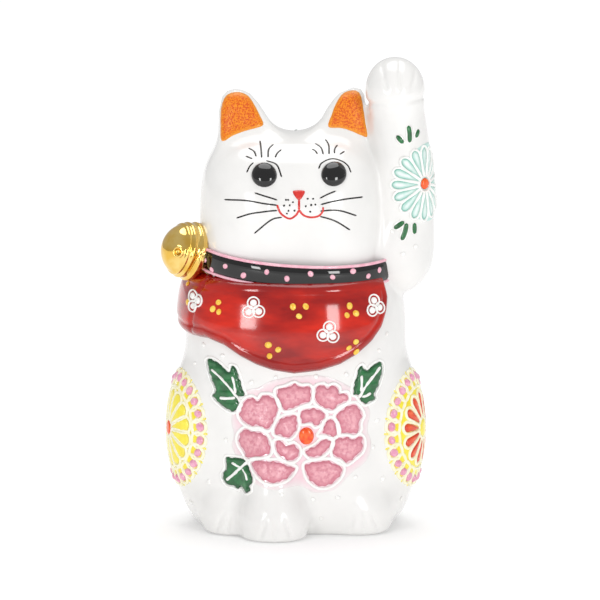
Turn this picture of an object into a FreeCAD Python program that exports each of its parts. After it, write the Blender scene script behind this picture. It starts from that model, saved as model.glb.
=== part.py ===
import FreeCAD
import Part
import math
import os

# Beckoning cat figurine: a hollow slip-cast pottery cat with raised enamel decoration.
# The cat faces -Y, stands on z = 0 and raises the paw on the +X side.
# "left" and "right" in the names are the -X and +X sides, as seen from the front.
# Sizes are millimetres.

HEIGHT = 150.0              # top of the raised paw
WALL = 4.5                  # clay wall of the body
ARM_WALL = 3.5              # clay wall of the raised arm
DRAIN_RADIUS = 5.0          # drain hole in the base
DRAIN_Y = 12.0              # the drain hole sits behind the middle of the base
VENT_RADIUS = 2.5           # firing vent between the arm and the body
BIB_THICKNESS = 3.0         # moulded bib over the chest
COLLAR_BOTTOM = 80.0
COLLAR_TOP = 86.6
COLLAR_SIZE = (32.4, 29.3, 27.6)        # half width, front depth, back depth
EDGING = 0.9                # height of the rounded edging above and below the collar
LOW = 0.3                   # height of the first enamel layer
MID = 0.55                  # height of the second enamel layer
HIGH = 0.85                 # height of the third enamel layer
LINE_WIDTH = 0.75           # painted lines on the face
OUTLINE = 0.75              # white trailed outline around a petal
CAP_RIM = 25.0              # latitude at which a dot's ball meets the clay, in degrees
FLOOR_DEPTH = 3.0           # how far solids run under the base before it is cut flat

HEAD_CENTRE = (-0.8, 0.0, 96.0)
HEAD_SIZE = (29.4, 27.0, 26.0, 29.6, 24.0)   # half width, front, back, up, down
HEAD_POWER = 2.6
HAUNCH_CENTRE = (25.5, -4.0, 31.0)
HAUNCH_SIZE = (15.8, 18.0, 29.0)
BELL_CENTRE = (-34.4, -9.5, 88.2)
BELL_RADIUS = 8.7
ROUNDEL_RADIUS = 18.4
ROUNDEL_HEIGHT = 32.0
ROUNDEL_TURN = 14.0         # degrees that each hip roundel faces forward of sideways
ARM_FLOWER_HEIGHT = 108.8
ARM_FLOWER_TURN = 43.0      # degrees from the front towards +X

# trunk: height, half width, front depth, back depth
TRUNK = [(-FLOOR_DEPTH, 21, 22, 25), (0, 26, 27, 30), (3, 29.5, 29, 33.5), (8, 32.5, 30, 36),
         (16, 34.5, 30.5, 38), (28, 35.3, 31, 38.5), (42, 35.3, 31.5, 36.5), (56, 35, 31.5, 33),
         (68, 34.6, 31, 30), (76, 33.5, 29.5, 27.5), (84, 30.5, 26.5, 25), (92, 26, 22.5, 22)]
# raised arm: height, centre x, centre y, radius
ARM = [(86, 31.3, -4, 10.6), (95, 33.2, -5, 10.8), (105, 34, -6, 10.4), (118, 33.4, -7, 9.5),
       (128, 32.5, -8, 8.8), (136, 31.6, -9, 9.3), (141, 31, -10, 9.5)]
# standing foreleg: height, centre x, centre y, radius
FORELEG = [(-FLOOR_DEPTH, -7.1, -28, 8.6), (8, -7.1, -28.2, 9), (20, -7.1, -26.4, 9),
           (35, -7.1, -24, 9), (52, -7.1, -19, 8.5)]
# short tail lying on the back: height, centre x, centre y, radius
TAIL = [(3, 5, 34, 5.0), (10, 8, 37, 5.0), (18, 10.5, 38, 4.6), (26, 10, 37.5, 3.9)]
# ears: height, centre x, half width, depth
EAR_LEFT = [(106, -15.5, 9.8, 9), (115, -16.3, 9.5, 8), (123, -16.6, 8.6, 6.6),
            (130, -17.4, 6.9, 5.2), (135, -18.6, 4.9, 4)]
EAR_RIGHT = [(106, 14.6, 9.6, 9), (115, 15.4, 9.2, 8), (123, 15.9, 8.4, 6.6),
             (130, 16.7, 6.7, 5.2), (135, 17.6, 4.9, 4)]
FIST_FRONT = -19.0          # depth of the toe grooves on the raised paw
EAR_DEPTH_CENTRE = -2.0
EAR_TIP_RISE = 4.3
TAIL_TIP_RISE = 4.2


def vector(x, y, z):
    return FreeCAD.Vector(x, y, z)


def signed_power(value, power):
    return math.copysign(abs(value) ** power, value)


def ring(z, x, y, width, front, back, power=2.3, count=24):
    """A level closed curve, with its own depth in front and behind."""
    points = []
    for k in range(count):
        angle = 2 * math.pi * k / count
        across = signed_power(math.cos(angle), 2 / power)
        along = signed_power(math.sin(angle), 2 / power)
        depth = back if along > 0 else front
        points.append(vector(x + width * across, y + depth * along, z))
    curve = Part.BSplineCurve()
    steps = [k / count for k in range(count + 1)]
    curve.interpolate(Points=points, PeriodicFlag=True, Parameters=steps)
    return Part.Wire([curve.toShape()])


def loft(rings):
    """Closed solid through level rings, as cubic splines so that it can't swing out between them."""
    solid, ruled, closed, degree = True, False, False, 3
    return Part.makeLoft(rings, solid, ruled, closed, degree)


def ellipsoid(centre, size):
    scale = FreeCAD.Matrix()
    scale.scale(size[0], size[1], size[2])
    shape = Part.makeSphere(1.0).transformGeometry(scale)
    shape.translate(vector(*centre))
    return shape


def fuse(shapes):
    return shapes[0].multiFuse(shapes[1:]) if len(shapes) > 1 else shapes[0]


def dome(z, x, y, width, depth, rise):
    """Level rings that round off the top of a limb."""
    rings = []
    for latitude in (30, 60, 80):
        angle = math.radians(latitude)
        spread = math.cos(angle)
        rings.append(ring(z + rise * math.sin(angle), x, y, width * spread, depth * spread,
                          depth * spread, 2.0, 16))
    return rings


def column(stations, grow, rise=0.0):
    """Round upright limb through (height, x, y, radius) stations, domed if it has a rise."""
    rings = []
    for z, x, y, radius in stations:
        size = radius + grow
        rings.append(ring(z, x, y, size, size, size, 2.0, 16))
    if rise:
        rings += dome(z, x, y, size, size, rise + grow)
    return loft(rings)


def above_floor(shape, floor=0.0):
    room = Part.makeBox(200, 200, 300, vector(-100, -100, floor))
    return shape.common(room)


# ---------------------------------------------------------------- clay forms

def trunk(grow):
    return loft([ring(z, 0, 0, a + grow, f + grow, b + grow) for z, a, f, b in TRUNK])


def head(grow):
    width, front, back, up, down = [side + grow for side in HEAD_SIZE]
    rings = []
    for latitude in (-60, -45, -30, -15, 0, 15, 30, 45, 58, 70, 80, 86, 89.2):
        angle = math.radians(latitude)
        rise = signed_power(math.sin(angle), 2 / HEAD_POWER)
        spread = math.cos(angle) ** (2 / HEAD_POWER)
        z = HEAD_CENTRE[2] + (up if latitude > 0 else down) * rise
        rings.append(ring(z, HEAD_CENTRE[0], HEAD_CENTRE[1], width * spread,
                          front * spread, back * spread, HEAD_POWER))
    return loft(rings)


def haunch(side, grow):
    centre = (side * HAUNCH_CENTRE[0], HAUNCH_CENTRE[1], HAUNCH_CENTRE[2])
    return ellipsoid(centre, [semi + grow for semi in HAUNCH_SIZE])


def muzzle(grow):
    """Two low cheek puffs under the nose."""
    size = (5.2 + grow, 4.0 + grow, 4.2 + grow)
    return [ellipsoid((-2.6, -25.0, 104.3), size), ellipsoid((4.6, -25.0, 104.3), size)]


PAWS = [((-7.1, -33.0, 6.0), (9.3, 10.0, 8.0)),
        ((-20.5, -23.0, 4.5), (14.5, 13.0, 9.0)),
        ((17.5, -24.5, 4.5), (15.0, 13.5, 9.0))]
TOE_GROOVES = [(0, (-10.6, -7.0, -3.4)), (1, (-22.5, -27.5)), (2, (18.6, 23.4))]


def toe_grooves():
    """Shallow upright cuts that part the toes."""
    cuts = []
    for index, places in TOE_GROOVES:
        centre, size = PAWS[index]
        skin = ellipsoid(centre, [s + 1.0 for s in size]).cut(ellipsoid(centre, [s - 0.7 for s in size]))
        for x in places:
            blade = Part.makeBox(0.6, 30, 6.5, vector(x - 0.3, centre[1] - 30, 0.8))
            cuts.append(skin.common(blade))
    return Part.makeCompound(cuts)


def body_form(grow):
    forms = [trunk(grow), head(grow), haunch(-1, grow), haunch(1, grow), column(FORELEG, grow)]
    forms += muzzle(grow)
    forms += [ellipsoid(centre, [semi + grow for semi in size]) for centre, size in PAWS]
    return above_floor(fuse(forms))


def body_cavity():
    forms = [trunk(-WALL), head(-WALL), haunch(-1, -WALL), haunch(1, -WALL)]
    return above_floor(fuse(forms), WALL)


def arm_form(grow):
    elbow = ellipsoid((30.2, -3.6, 88.0), (13.2 + grow, 12.2 + grow, 14.0 + grow))
    return fuse([column(ARM, grow, HEIGHT - ARM[-1][0]), elbow])


def ear_form(stations, grow):
    rings = []
    for z, x, width, depth in stations:
        rings.append(ring(z, x, EAR_DEPTH_CENTRE, width + grow, depth + grow, depth + grow, 2.0, 16))
    rings += dome(z, x, EAR_DEPTH_CENTRE, width + grow, depth + grow, EAR_TIP_RISE + grow)
    return loft(rings)


# ------------------------------------------------------------ enamel helpers

class Frame:
    """A flat drawing frame: pads drawn in it are pushed outwards on to the clay."""

    def __init__(self, origin, turn):
        angle = math.radians(turn)
        self.origin = vector(*origin)
        self.across = vector(math.cos(angle), math.sin(angle), 0)
        self.up = vector(0, 0, 1)
        self.out = vector(math.sin(angle), -math.cos(angle), 0)

    def place(self, point):
        return self.origin + self.across * point[0] + self.up * point[1]


FRONT = Frame((0, 0, 0), 0)
BACK = Frame((0, 0, 0), 180)


def smooth_wire(points, frame):
    curve = Part.BSplineCurve()
    curve.interpolate([frame.place(p) for p in points], PeriodicFlag=True)
    return Part.Wire([curve.toShape()])


def pad(points, frame, reach=60.0):
    """Prism of a smooth closed outline, from the frame's plane outwards."""
    return Part.Face(smooth_wire(points, frame)).extrude(frame.out * reach)


def ribbon(points, width, frame, reach=60.0):
    """Prism of a line of the given width through a few points."""
    centre = Part.BSplineCurve()
    centre.interpolate([frame.place(p) for p in points])
    sides = ([], [])
    steps = 3 * (len(points) - 1)
    first, last = centre.FirstParameter, centre.LastParameter
    for k in range(steps + 1):
        where = first + (last - first) * k / steps
        offset = centre.tangent(where)[0].cross(frame.out) * (width / 2)
        sides[0].append(centre.value(where) + offset)
        sides[1].append(centre.value(where) - offset)
    edges = []
    for side in sides:
        curve = Part.BSplineCurve()
        curve.interpolate(side)
        edges.append(curve.toShape())
    ends = [Part.makeLine(sides[0][k], sides[1][k]) for k in (0, -1)]
    wire = Part.Wire(Part.__sortEdges__([edges[0], ends[0], edges[1], ends[1]]))
    return Part.Face(wire).extrude(frame.out * reach)


def grown(points, margin):
    """The same closed outline pushed outwards by a margin."""
    area = 0.0
    count = len(points)
    for k in range(count):
        ahead = points[(k + 1) % count]
        area += points[k][0] * ahead[1] - ahead[0] * points[k][1]
    turn = math.copysign(1.0, area)
    result = []
    for k in range(count):
        before = points[k - 1]
        ahead = points[(k + 1) % count]
        run = math.hypot(ahead[0] - before[0], ahead[1] - before[1])
        out_x = turn * (ahead[1] - before[1]) / run
        out_y = -turn * (ahead[0] - before[0]) / run
        result.append((points[k][0] + margin * out_x, points[k][1] + margin * out_y))
    return result


def petal(angle, inner, outer, width, centre=(0, 0)):
    """Rounded petal that widens outwards, pointing along an angle in degrees."""
    turn = math.radians(angle)
    shape = [(inner, 0), (inner + 0.35 * (outer - inner), 0.36 * width),
             (inner + 0.75 * (outer - inner), 0.5 * width), (outer, 0),
             (inner + 0.75 * (outer - inner), -0.5 * width),
             (inner + 0.35 * (outer - inner), -0.36 * width)]
    points = []
    for along, side in shape:
        points.append((centre[0] + along * math.cos(turn) - side * math.sin(turn),
                       centre[1] + along * math.sin(turn) + side * math.cos(turn)))
    return points


def petal_ring(count, inner, outer, width, centre=(0, 0), start=90.0):
    return [petal(start + 360.0 * k / count, inner, outer, width, centre) for k in range(count)]


def disc(radius, centre=(0, 0), count=10):
    turns = [2 * math.pi * k / count for k in range(count)]
    return [(centre[0] + radius * math.cos(t), centre[1] + radius * math.sin(t)) for t in turns]


def scalloped(radius, lobes, depth, centre=(0, 0)):
    points = []
    for k in range(4 * lobes):
        angle = 2 * math.pi * k / (4 * lobes)
        reach = radius + depth * math.cos(lobes * angle)
        points.append((centre[0] + reach * math.cos(angle), centre[1] + reach * math.sin(angle)))
    return points


def layer(prisms, outside, inside):
    """The part of the prisms between two grown clay forms: one enamel layer."""
    pieces = []
    for prism in prisms:
        pieces += prism.common(outside).cut(inside).Solids
    least = 0.02 * max(piece.Volume for piece in pieces)
    return Part.makeCompound([piece for piece in pieces if piece.Volume > least])


def surface_point(form, frame, point):
    """Where the frame's outward line through a point leaves the clay."""
    start = frame.place(point)
    path = Part.makeLine(start, start + frame.out * 80)
    inside = path.common(form)
    reach = max((vertex.Point - start).dot(frame.out) for vertex in inside.Vertexes)
    return start + frame.out * reach


def beads(places, radius, form, frame):
    """Low round enamel dots: caps whose flat side lies against the clay."""
    rim = math.radians(CAP_RIM)
    ball = radius / math.cos(rim)
    dots = []
    for x, z in places:
        seat = surface_point(form, frame, (x, z))
        aside = surface_point(form, frame, (x + 0.1, z)) - seat
        above = surface_point(form, frame, (x, z + 0.1)) - seat
        normal = above.cross(aside)
        normal.normalize()
        if normal.dot(frame.out) < 0:
            normal = normal * -1
        dots.append(Part.makeSphere(ball, seat - normal * (ball * math.sin(rim)), normal, CAP_RIM, 90))
    return Part.makeCompound(dots)


def save(name, shape):
    if not shape.isValid():
        shape.fix(1e-4, 1e-4, 1e-3)
    print(name, "valid", shape.isValid(), "solids", [round(s.Volume, 2) for s in shape.Solids][:4], len(shape.Solids))
    shape.exportStep("parts/" + name + ".step")


os.makedirs("parts", exist_ok=True)

# ---------------------------------------------------------------- clay pieces

body = body_form(0.0)
arm_solid = arm_form(0.0)
drain = Part.makeCylinder(DRAIN_RADIUS, 3 * WALL, vector(0, DRAIN_Y, -WALL))
vent = Part.makeCylinder(VENT_RADIUS, 22, vector(34, -4, 88), vector(-1, 0, 0))
body_shell = body.cut(body_cavity()).cut(drain).cut(vent).cut(toe_grooves())
save("body_shell", body_shell)

arm_cavity = column(ARM, -ARM_WALL, HEIGHT - ARM[-1][0])
raised_arm = arm_solid.cut(body).cut(arm_cavity)
for groove_x in (27.4, 31.2, 35.0):
    start = vector(groove_x, FIST_FRONT + 0.16 * (groove_x - 31) ** 2 / 2, 136.5)
    raised_arm = raised_arm.cut(Part.makeCylinder(0.5, 8.0, start, vector(0, 0.12, 1)))
save("raised_arm", raised_arm)

ear_left = ear_form(EAR_LEFT, 0.0).cut(body)
ear_right = ear_form(EAR_RIGHT, 0.0).cut(body).cut(arm_solid)
save("ear_left", ear_left)
save("ear_right", ear_right)

tail = above_floor(column(TAIL, 0.0, TAIL_TIP_RISE)).cut(body)
save("tail", tail)


def collar_band(bottom, top, rim, middle):
    """Solid disc of the collar's outline whose edge bulges between its two rims."""
    width, front, back = COLLAR_SIZE
    levels = ((bottom, rim), (0.5 * (bottom + top), middle), (top, rim))
    return loft([ring(z, 0, 0, width + g, front + g, back + g) for z, g in levels])


collar_solid = collar_band(COLLAR_BOTTOM, COLLAR_TOP, -0.4, 0.4)
edging_lower = collar_band(COLLAR_BOTTOM - EDGING, COLLAR_BOTTOM, -0.3, 0.5)
edging_upper = collar_band(COLLAR_TOP, COLLAR_TOP + EDGING, -0.3, 0.5)


def bell_form():
    """Round bell with two raised bands and a small boss at the end of its slit."""
    axis = vector(-math.cos(math.radians(14)) * math.cos(math.radians(17)),
                  -math.sin(math.radians(14)) * math.cos(math.radians(17)),
                  math.sin(math.radians(17)))
    centre = vector(*BELL_CENTRE)
    shape = Part.makeSphere(BELL_RADIUS, centre)
    for along in (0.9, 2.6):
        reach = math.sqrt(BELL_RADIUS ** 2 - along ** 2)
        shape = shape.fuse(Part.makeTorus(reach, 0.55, centre - axis * along, axis))
    toward = vector(-0.45, -0.86, 0.1)
    toward.normalize()
    boss_centre = centre + toward * (BELL_RADIUS - 0.1)
    shape = shape.fuse(Part.makeTorus(1.4, 0.5, boss_centre, toward))
    return shape.cut(Part.makeSphere(0.9, centre + toward * BELL_RADIUS))


bell_solid = bell_form()
bell = bell_solid.cut(body).cut(collar_solid).cut(edging_lower).cut(edging_upper)
save("bell", bell)
save("collar", collar_solid.cut(body).cut(arm_solid))
save("collar_edging_lower", edging_lower.cut(body).cut(arm_solid))
save("collar_edging_upper", edging_upper.cut(body).cut(arm_solid))

# bib: the lower edge dips at the chest and tucks under the raised arm
BIB_FRONT = [(-45, 62.5), (-36, 62.3), (-30, 62.5), (-24.3, 60.9), (-18.9, 57.8), (-13.5, 55.5),
             (-8, 53.9), (-0.5, 52.9), (8.2, 53.8), (15.3, 55.6), (21.3, 58.5), (25.5, 61.9),
             (28.4, 66), (29.9, 71), (30.5, 75.3), (30.2, 79.1)]
BIB_BACK = [(45, 62.5), (30, 63), (15, 64.8), (0, 66), (-15, 67), (-28, 69)]


def bib_prism(lower_edge, frame):
    top = COLLAR_BOTTOM - EDGING
    curve = Part.BSplineCurve()
    curve.interpolate([frame.place(p) for p in lower_edge])
    first = frame.place(lower_edge[0])
    last = frame.place(lower_edge[-1])
    high_first = frame.place((lower_edge[0][0], top))
    high_last = frame.place((lower_edge[-1][0], top))
    edges = [curve.toShape(), Part.makeLine(first, high_first), Part.makeLine(high_first, high_last)]
    if (high_last - last).Length > 0.01:
        edges.append(Part.makeLine(high_last, last))
    wire = Part.Wire(Part.__sortEdges__(edges))
    return Part.Face(wire).extrude(frame.out * 60)


bib_room = bib_prism(BIB_FRONT, FRONT).fuse(bib_prism(BIB_BACK, BACK))
bib_solid = trunk(BIB_THICKNESS).common(bib_room)
bib = bib_solid.cut(body).cut(arm_solid).cut(edging_lower).cut(bell_solid)
save("bib", Part.makeCompound([piece for piece in bib.Solids if piece.Volume > 5]))

# ----------------------------------------------------------------------- face

face_low = fuse([head(LOW)] + muzzle(LOW))
EYES = {"eye_left": (-9.9, 114.4), "eye_right": (11.9, 114.6)}
for name, (x, z) in EYES.items():
    seat = surface_point(body, FRONT, (x, z))
    ball = ellipsoid((x, seat.y + 0.7, z), (3.85, 2.4, 3.7))
    save(name, ball.cut(body))

NOSE = [(-0.9, 109.7), (1.0, 109.9), (2.8, 109.7), (2.3, 108.2), (1.0, 107.0), (-0.4, 108.2)]
nose = pad(NOSE, FRONT).common(fuse([head(1.2)] + muzzle(1.0))).cut(body)
save("nose", nose)
MOUTH = [[(1.0, 106.9), (1.0, 105.4), (1.0, 104.0)],
         [(1.0, 104.2), (0.1, 102.5), (-1.7, 101.3), (-3.5, 102.0), (-4.9, 103.3), (-5.9, 105.7)],
         [(1.0, 104.2), (2.3, 102.5), (4.1, 101.8), (5.9, 101.8), (7.4, 102.3), (8.5, 103.6)]]
mouth_prism = fuse([ribbon(line, LINE_WIDTH, FRONT) for line in MOUTH])
save("mouth_line", layer([mouth_prism.cut(pad(NOSE, FRONT))], face_low, body))
WHISKERS = [[(-5.9, 107.0), (-10.0, 108.2), (-13.0, 109.1)],
            [(-6.4, 105.5), (-9.1, 105.7), (-15.8, 106.6), (-22.5, 106.4)],
            [(-6.4, 103.9), (-10.4, 103.2), (-14.3, 102.5), (-18.7, 100.9)],
            [(-5.2, 101.8), (-7.8, 100.7), (-13.1, 96.3)],
            [(8.0, 107.5), (10.3, 108.8), (12.6, 109.6)],
            [(9.3, 105.8), (15.0, 106.9), (21.1, 107.2)],
            [(9.1, 103.7), (13.5, 103.5), (19.1, 101.5)],
            [(8.4, 101.7), (12.4, 100.2), (17.1, 97.1)]]
save("whiskers", layer([ribbon(line, LINE_WIDTH, FRONT) for line in WHISKERS], face_low, body))
BROWS = [[(-13.8, 119.4), (-15.6, 120.6)], [(-12.2, 120.2), (-12.9, 121.6), (-14.7, 122.2)],
         [(-10.7, 119.8), (-10.9, 121.8), (-11.1, 123.6)], [(-8.6, 120.0), (-8.4, 122.0), (-6.7, 123.0)],
         [(-6.4, 120.2), (-5.7, 121.2), (-4.4, 122.0)], [(6.8, 120.9), (6.1, 121.7), (5.2, 122.0)],
         [(8.6, 120.8), (7.9, 122.6), (6.0, 123.4)], [(10.4, 120.8), (10.3, 122.8), (9.3, 124.0)],
         [(12.1, 121.0), (12.2, 122.0), (13.1, 122.7)], [(13.7, 120.7), (15.3, 121.3)]]
save("brow_strokes", layer([ribbon(line, LINE_WIDTH, FRONT) for line in BROWS], face_low, body))
LIDS = [[(-13.0, 118.6), (-14.3, 117.4), (-15.3, 115.5)], [(-8.4, 119.3), (-5.5, 117.9), (-4.2, 114.3)],
        [(7.1, 116.8), (8.1, 118.9), (11.0, 120.1), (13.9, 119.6), (16.2, 117.8), (17.3, 115.4)]]
save("eyelid_lines", layer([ribbon(line, LINE_WIDTH, FRONT) for line in LIDS], face_low, body))
MUZZLE_DOTS = [(-3.6, 107.3), (-2.2, 107.3), (-0.9, 106.2), (-3.7, 105.5), (-2.1, 105.2), (-2.3, 103.6),
               (-0.6, 104.3), (3.7, 107.5), (5.4, 107.4), (3.1, 105.3), (4.7, 105.7), (6.2, 105.5),
               (4.5, 103.5)]
save("muzzle_dots", beads(MUZZLE_DOTS, 0.35, body, FRONT))

# ---------------------------------------------------------- ears and collar

EAR_PATCH_LEFT = [(-23.2, 123.2), (-23.9, 129), (-23.3, 134.5), (-20.4, 137.8), (-17, 137.4),
                  (-13.4, 133.4), (-10.9, 127.9), (-14.5, 126.2), (-19.2, 124.9)]
EAR_PATCH_RIGHT = [(10.6, 127.6), (12.2, 132.6), (14.4, 136.6), (17.8, 138.2), (20.6, 136),
                   (21.4, 130.5), (22.1, 124.8), (18.3, 126), (14.2, 127.2)]
for name, outline, stations in (("ear_enamel_left", EAR_PATCH_LEFT, EAR_LEFT),
                                ("ear_enamel_right", EAR_PATCH_RIGHT, EAR_RIGHT)):
    ear = ear_form(stations, 0.0)
    patch = layer([pad(outline, FRONT)], ear_form(stations, MID), ear.fuse(body))
    save(name, patch)

COLLAR_DOTS = [(-22.1, 84.6), (-16.4, 82.4), (-9.1, 84.4), (-2.8, 82.4), (4.6, 84.2), (11.5, 82.5),
               (17.9, 84.2), (22.7, 82.3), (26.2, 84.2)]
save("collar_dots", beads(COLLAR_DOTS, 0.92, collar_solid, FRONT))

# ------------------------------------------------------------------------ bib

BLOSSOMS = [(-31.0, 73.9), (-13.2, 73.2), (10.2, 66.0), (24.6, 73.2)]
BLOSSOM_RADIUS = 3.7
bib_face = trunk(BIB_THICKNESS)
bib_low = trunk(BIB_THICKNESS + LOW)
bib_mid = trunk(BIB_THICKNESS + MID)
blossom_pads = []
for place in BLOSSOMS:
    blossom_pads.append(pad(scalloped(BLOSSOM_RADIUS * 0.8, 3, 0.8, place), FRONT))
save("bib_blossoms", layer(blossom_pads, bib_low, bib_face))
lobe_pads = []
for place in BLOSSOMS:
    for lobe in petal_ring(3, 0.5, BLOSSOM_RADIUS - 0.6, 2.2, place, 0.0):
        lobe_pads.append(pad(lobe, FRONT))
save("bib_blossom_lobes", layer(lobe_pads, bib_mid, bib_low))
YELLOW_TRIOS = [[(-24.2, 74.7), (-26.0, 72.5), (-23.6, 71.8)], [(-0.9, 74.3), (3.1, 74.4), (1.0, 71.4)],
                [(-8.6, 62.3), (-5.3, 60.9), (-8.2, 58.8)], [(16.8, 74.1), (16.0, 71.3), (18.8, 71.7)],
                [(18.8, 62.8), (16.6, 61.0), (18.9, 59.6)]]
yellow_dots = []
for trio in YELLOW_TRIOS:
    yellow_dots += trio
save("bib_yellow_dots", beads(yellow_dots, 1.05, bib_face, FRONT))

# ---------------------------------------------------------------------- peony

PEONY_PETALS = [
    [(-17.5, 40.0), (-15.8, 43.6), (-13.6, 44.8), (-11.6, 44.2), (-9.6, 45.8), (-6.9, 44.7), (-5.7, 41.6),
     (-7.2, 37.8), (-9.2, 35.9), (-13.0, 36.4), (-16.5, 37.5)],
    [(-5.9, 47.2), (-2.9, 48.6), (0.4, 49.4), (4.0, 48.6), (4.6, 45.4), (1.9, 43.0), (-1.6, 41.8),
     (-4.4, 43.2)],
    [(6.4, 48.0), (8.8, 49.0), (12.2, 48.8), (13.8, 46.4), (16.1, 45.2), (14.2, 43.1), (11.0, 41.3),
     (7.4, 43.4)],
    [(12.9, 38.6), (15.3, 41.6), (18.4, 42.4), (20.6, 39.4), (19.9, 35.6), (17.6, 33.3), (14.4, 33.8)],
    [(12.8, 31.6), (16.4, 32.2), (20.2, 31.9), (20.7, 28.0), (16.4, 24.1), (12.6, 26.4)],
    [(3.2, 23.6), (7.4, 24.8), (11.4, 24.4), (14.5, 22.2), (11.6, 17.8), (7.2, 16.8), (4.2, 19.2)],
    [(-13.7, 24.7), (-9.4, 25.6), (-4.4, 24.8), (-0.6, 22.8), (-3.6, 19.6), (-8.6, 18.9), (-12.4, 21.6)],
    [(-17.6, 32.6), (-15.2, 34.8), (-11.1, 34.1), (-8.5, 31.2), (-8.8, 27.6), (-12.6, 26.5),
     (-16.2, 26.8), (-17.6, 29.6)],
    [(-6.5, 34.2), (-5.4, 37.6), (-2.6, 39.3), (0.2, 38.4), (-0.2, 34.6), (-2.6, 32.8)],
    [(1.8, 40.6), (5.2, 41.6), (8.9, 39.8), (7.6, 37.2), (4.6, 36.6), (1.9, 37.4)],
    [(7.4, 33.6), (9.0, 36.0), (10.8, 38.1), (12.7, 35.6), (11.8, 32.6), (9.3, 32.7)],
    [(3.2, 28.2), (7.0, 30.4), (10.7, 31.5), (9.7, 28.2), (6.8, 26.3), (4.0, 26.5)],
    [(-6.1, 31.2), (-3.2, 30.3), (0.4, 29.4), (0.5, 26.6), (-2.6, 25.8), (-5.7, 28.2)]]
belly = fuse([trunk(0.0), column(FORELEG, 0.0)])
belly_low = fuse([trunk(LOW), column(FORELEG, LOW)])
belly_high = fuse([trunk(HIGH), column(FORELEG, HIGH)])
outline_ground = fuse([pad(grown(outline, OUTLINE), FRONT) for outline in PEONY_PETALS])
save("peony_outline", layer([outline_ground], belly_low, body))
save("peony_petals", layer([pad(outline, FRONT) for outline in PEONY_PETALS], belly_high, belly_low))
centre_outline = [(3.3 + 2.4 * math.cos(t), 33.0 + 2.85 * math.sin(t))
                  for t in [2 * math.pi * k / 10 for k in range(10)]]
save("peony_centre", layer([pad(centre_outline, FRONT)], belly_high, body.fuse(belly_low.common(
    outline_ground))))

LEAVES = [[(-27.6, 55.2), (-24.3, 55.0), (-21.0, 52.8), (-18.4, 50.6), (-16.8, 46.6), (-18.6, 42.6),
           (-21.6, 41.0), (-25.2, 43.8), (-26.4, 48.6)],
          [(19.9, 54.4), (23.2, 54.6), (26.8, 55.2), (26.2, 50.6), (25.0, 45.2), (21.6, 43.4), (18.6, 46.8)],
          [(-21.6, 25.6), (-16.2, 25.2), (-13.7, 21.4), (-15.2, 15.8), (-19.2, 16.2), (-22.6, 19.6)]]
LEAF_VEINS = [[(-26.6, 54.2), (-22.8, 48.6), (-18.8, 43.8)], [(-24.0, 46.4), (-22.8, 48.6), (-20.4, 50.4)],
              [(26.0, 54.2), (23.4, 49.6), (20.8, 45.0)], [(20.8, 49.8), (22.8, 48.4), (24.6, 46.4)],
              [(-20.8, 24.6), (-17.8, 20.8), (-15.6, 17.4)], [(-20.4, 19.4), (-18.0, 21.0), (-15.8, 22.6)]]
belly_sides = [haunch(-1, LOW), haunch(1, LOW)]
leaf_ground = fuse([belly_low] + belly_sides)
leaf_top = fuse([trunk(MID), column(FORELEG, MID), haunch(-1, MID), haunch(1, MID)])
leaf_pads = [pad(outline, FRONT).cut(outline_ground) for outline in LEAVES]
for name, leaf in zip(("leaf_left_upper", "leaf_right_upper", "leaf_left_lower"), leaf_pads):
    save(name, layer([leaf], leaf_ground, body))
vein_prisms = []
for k in range(3):
    veins = fuse([ribbon(line, 0.6, FRONT) for line in LEAF_VEINS[2 * k:2 * k + 2]])
    vein_prisms.append(veins.common(leaf_pads[k]))
save("leaf_veins", layer(vein_prisms, leaf_top, leaf_ground))

# --------------------------------------------------------------- hip roundels

SCALLOPS = 24


def roundel(name, side, petal_count, petal_inner, petal_outer, petal_width):
    """Round medallion on a hip: yellow field, outlined petals, ring of pink dots."""
    frame = Frame((side * 10.0, HAUNCH_CENTRE[1], ROUNDEL_HEIGHT), side * (90.0 - ROUNDEL_TURN))
    low = fuse([trunk(LOW), haunch(side, LOW)])
    mid = fuse([trunk(MID), haunch(side, MID)])
    high = fuse([trunk(HIGH), haunch(side, HIGH)])
    save(name + "_field", layer([pad(scalloped(ROUNDEL_RADIUS, SCALLOPS, 0.45), frame, 40)], low, body))
    petals = petal_ring(petal_count, petal_inner, petal_outer, petal_width)
    ground = fuse([pad(grown(outline, 0.45), frame, 40) for outline in petals])
    save(name + "_outline", layer([ground], mid, low))
    save(name + "_petals", layer([pad(outline, frame, 40) for outline in petals], high, mid))
    save(name + "_centre", layer([pad(disc(2.4), frame, 40)], high, low))
    dots = []
    for k in range(SCALLOPS):
        angle = 2 * math.pi * k / SCALLOPS
        dots.append((16.2 * math.cos(angle), 16.2 * math.sin(angle)))
    save(name + "_dots", beads(dots, 1.25, low, frame))


roundel("roundel_left", -1, 14, 3.4, 12.6, 3.2)
roundel("roundel_right", 1, 13, 3.6, 11.6, 3.0)

# ----------------------------------------------------------------- arm flower

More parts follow.
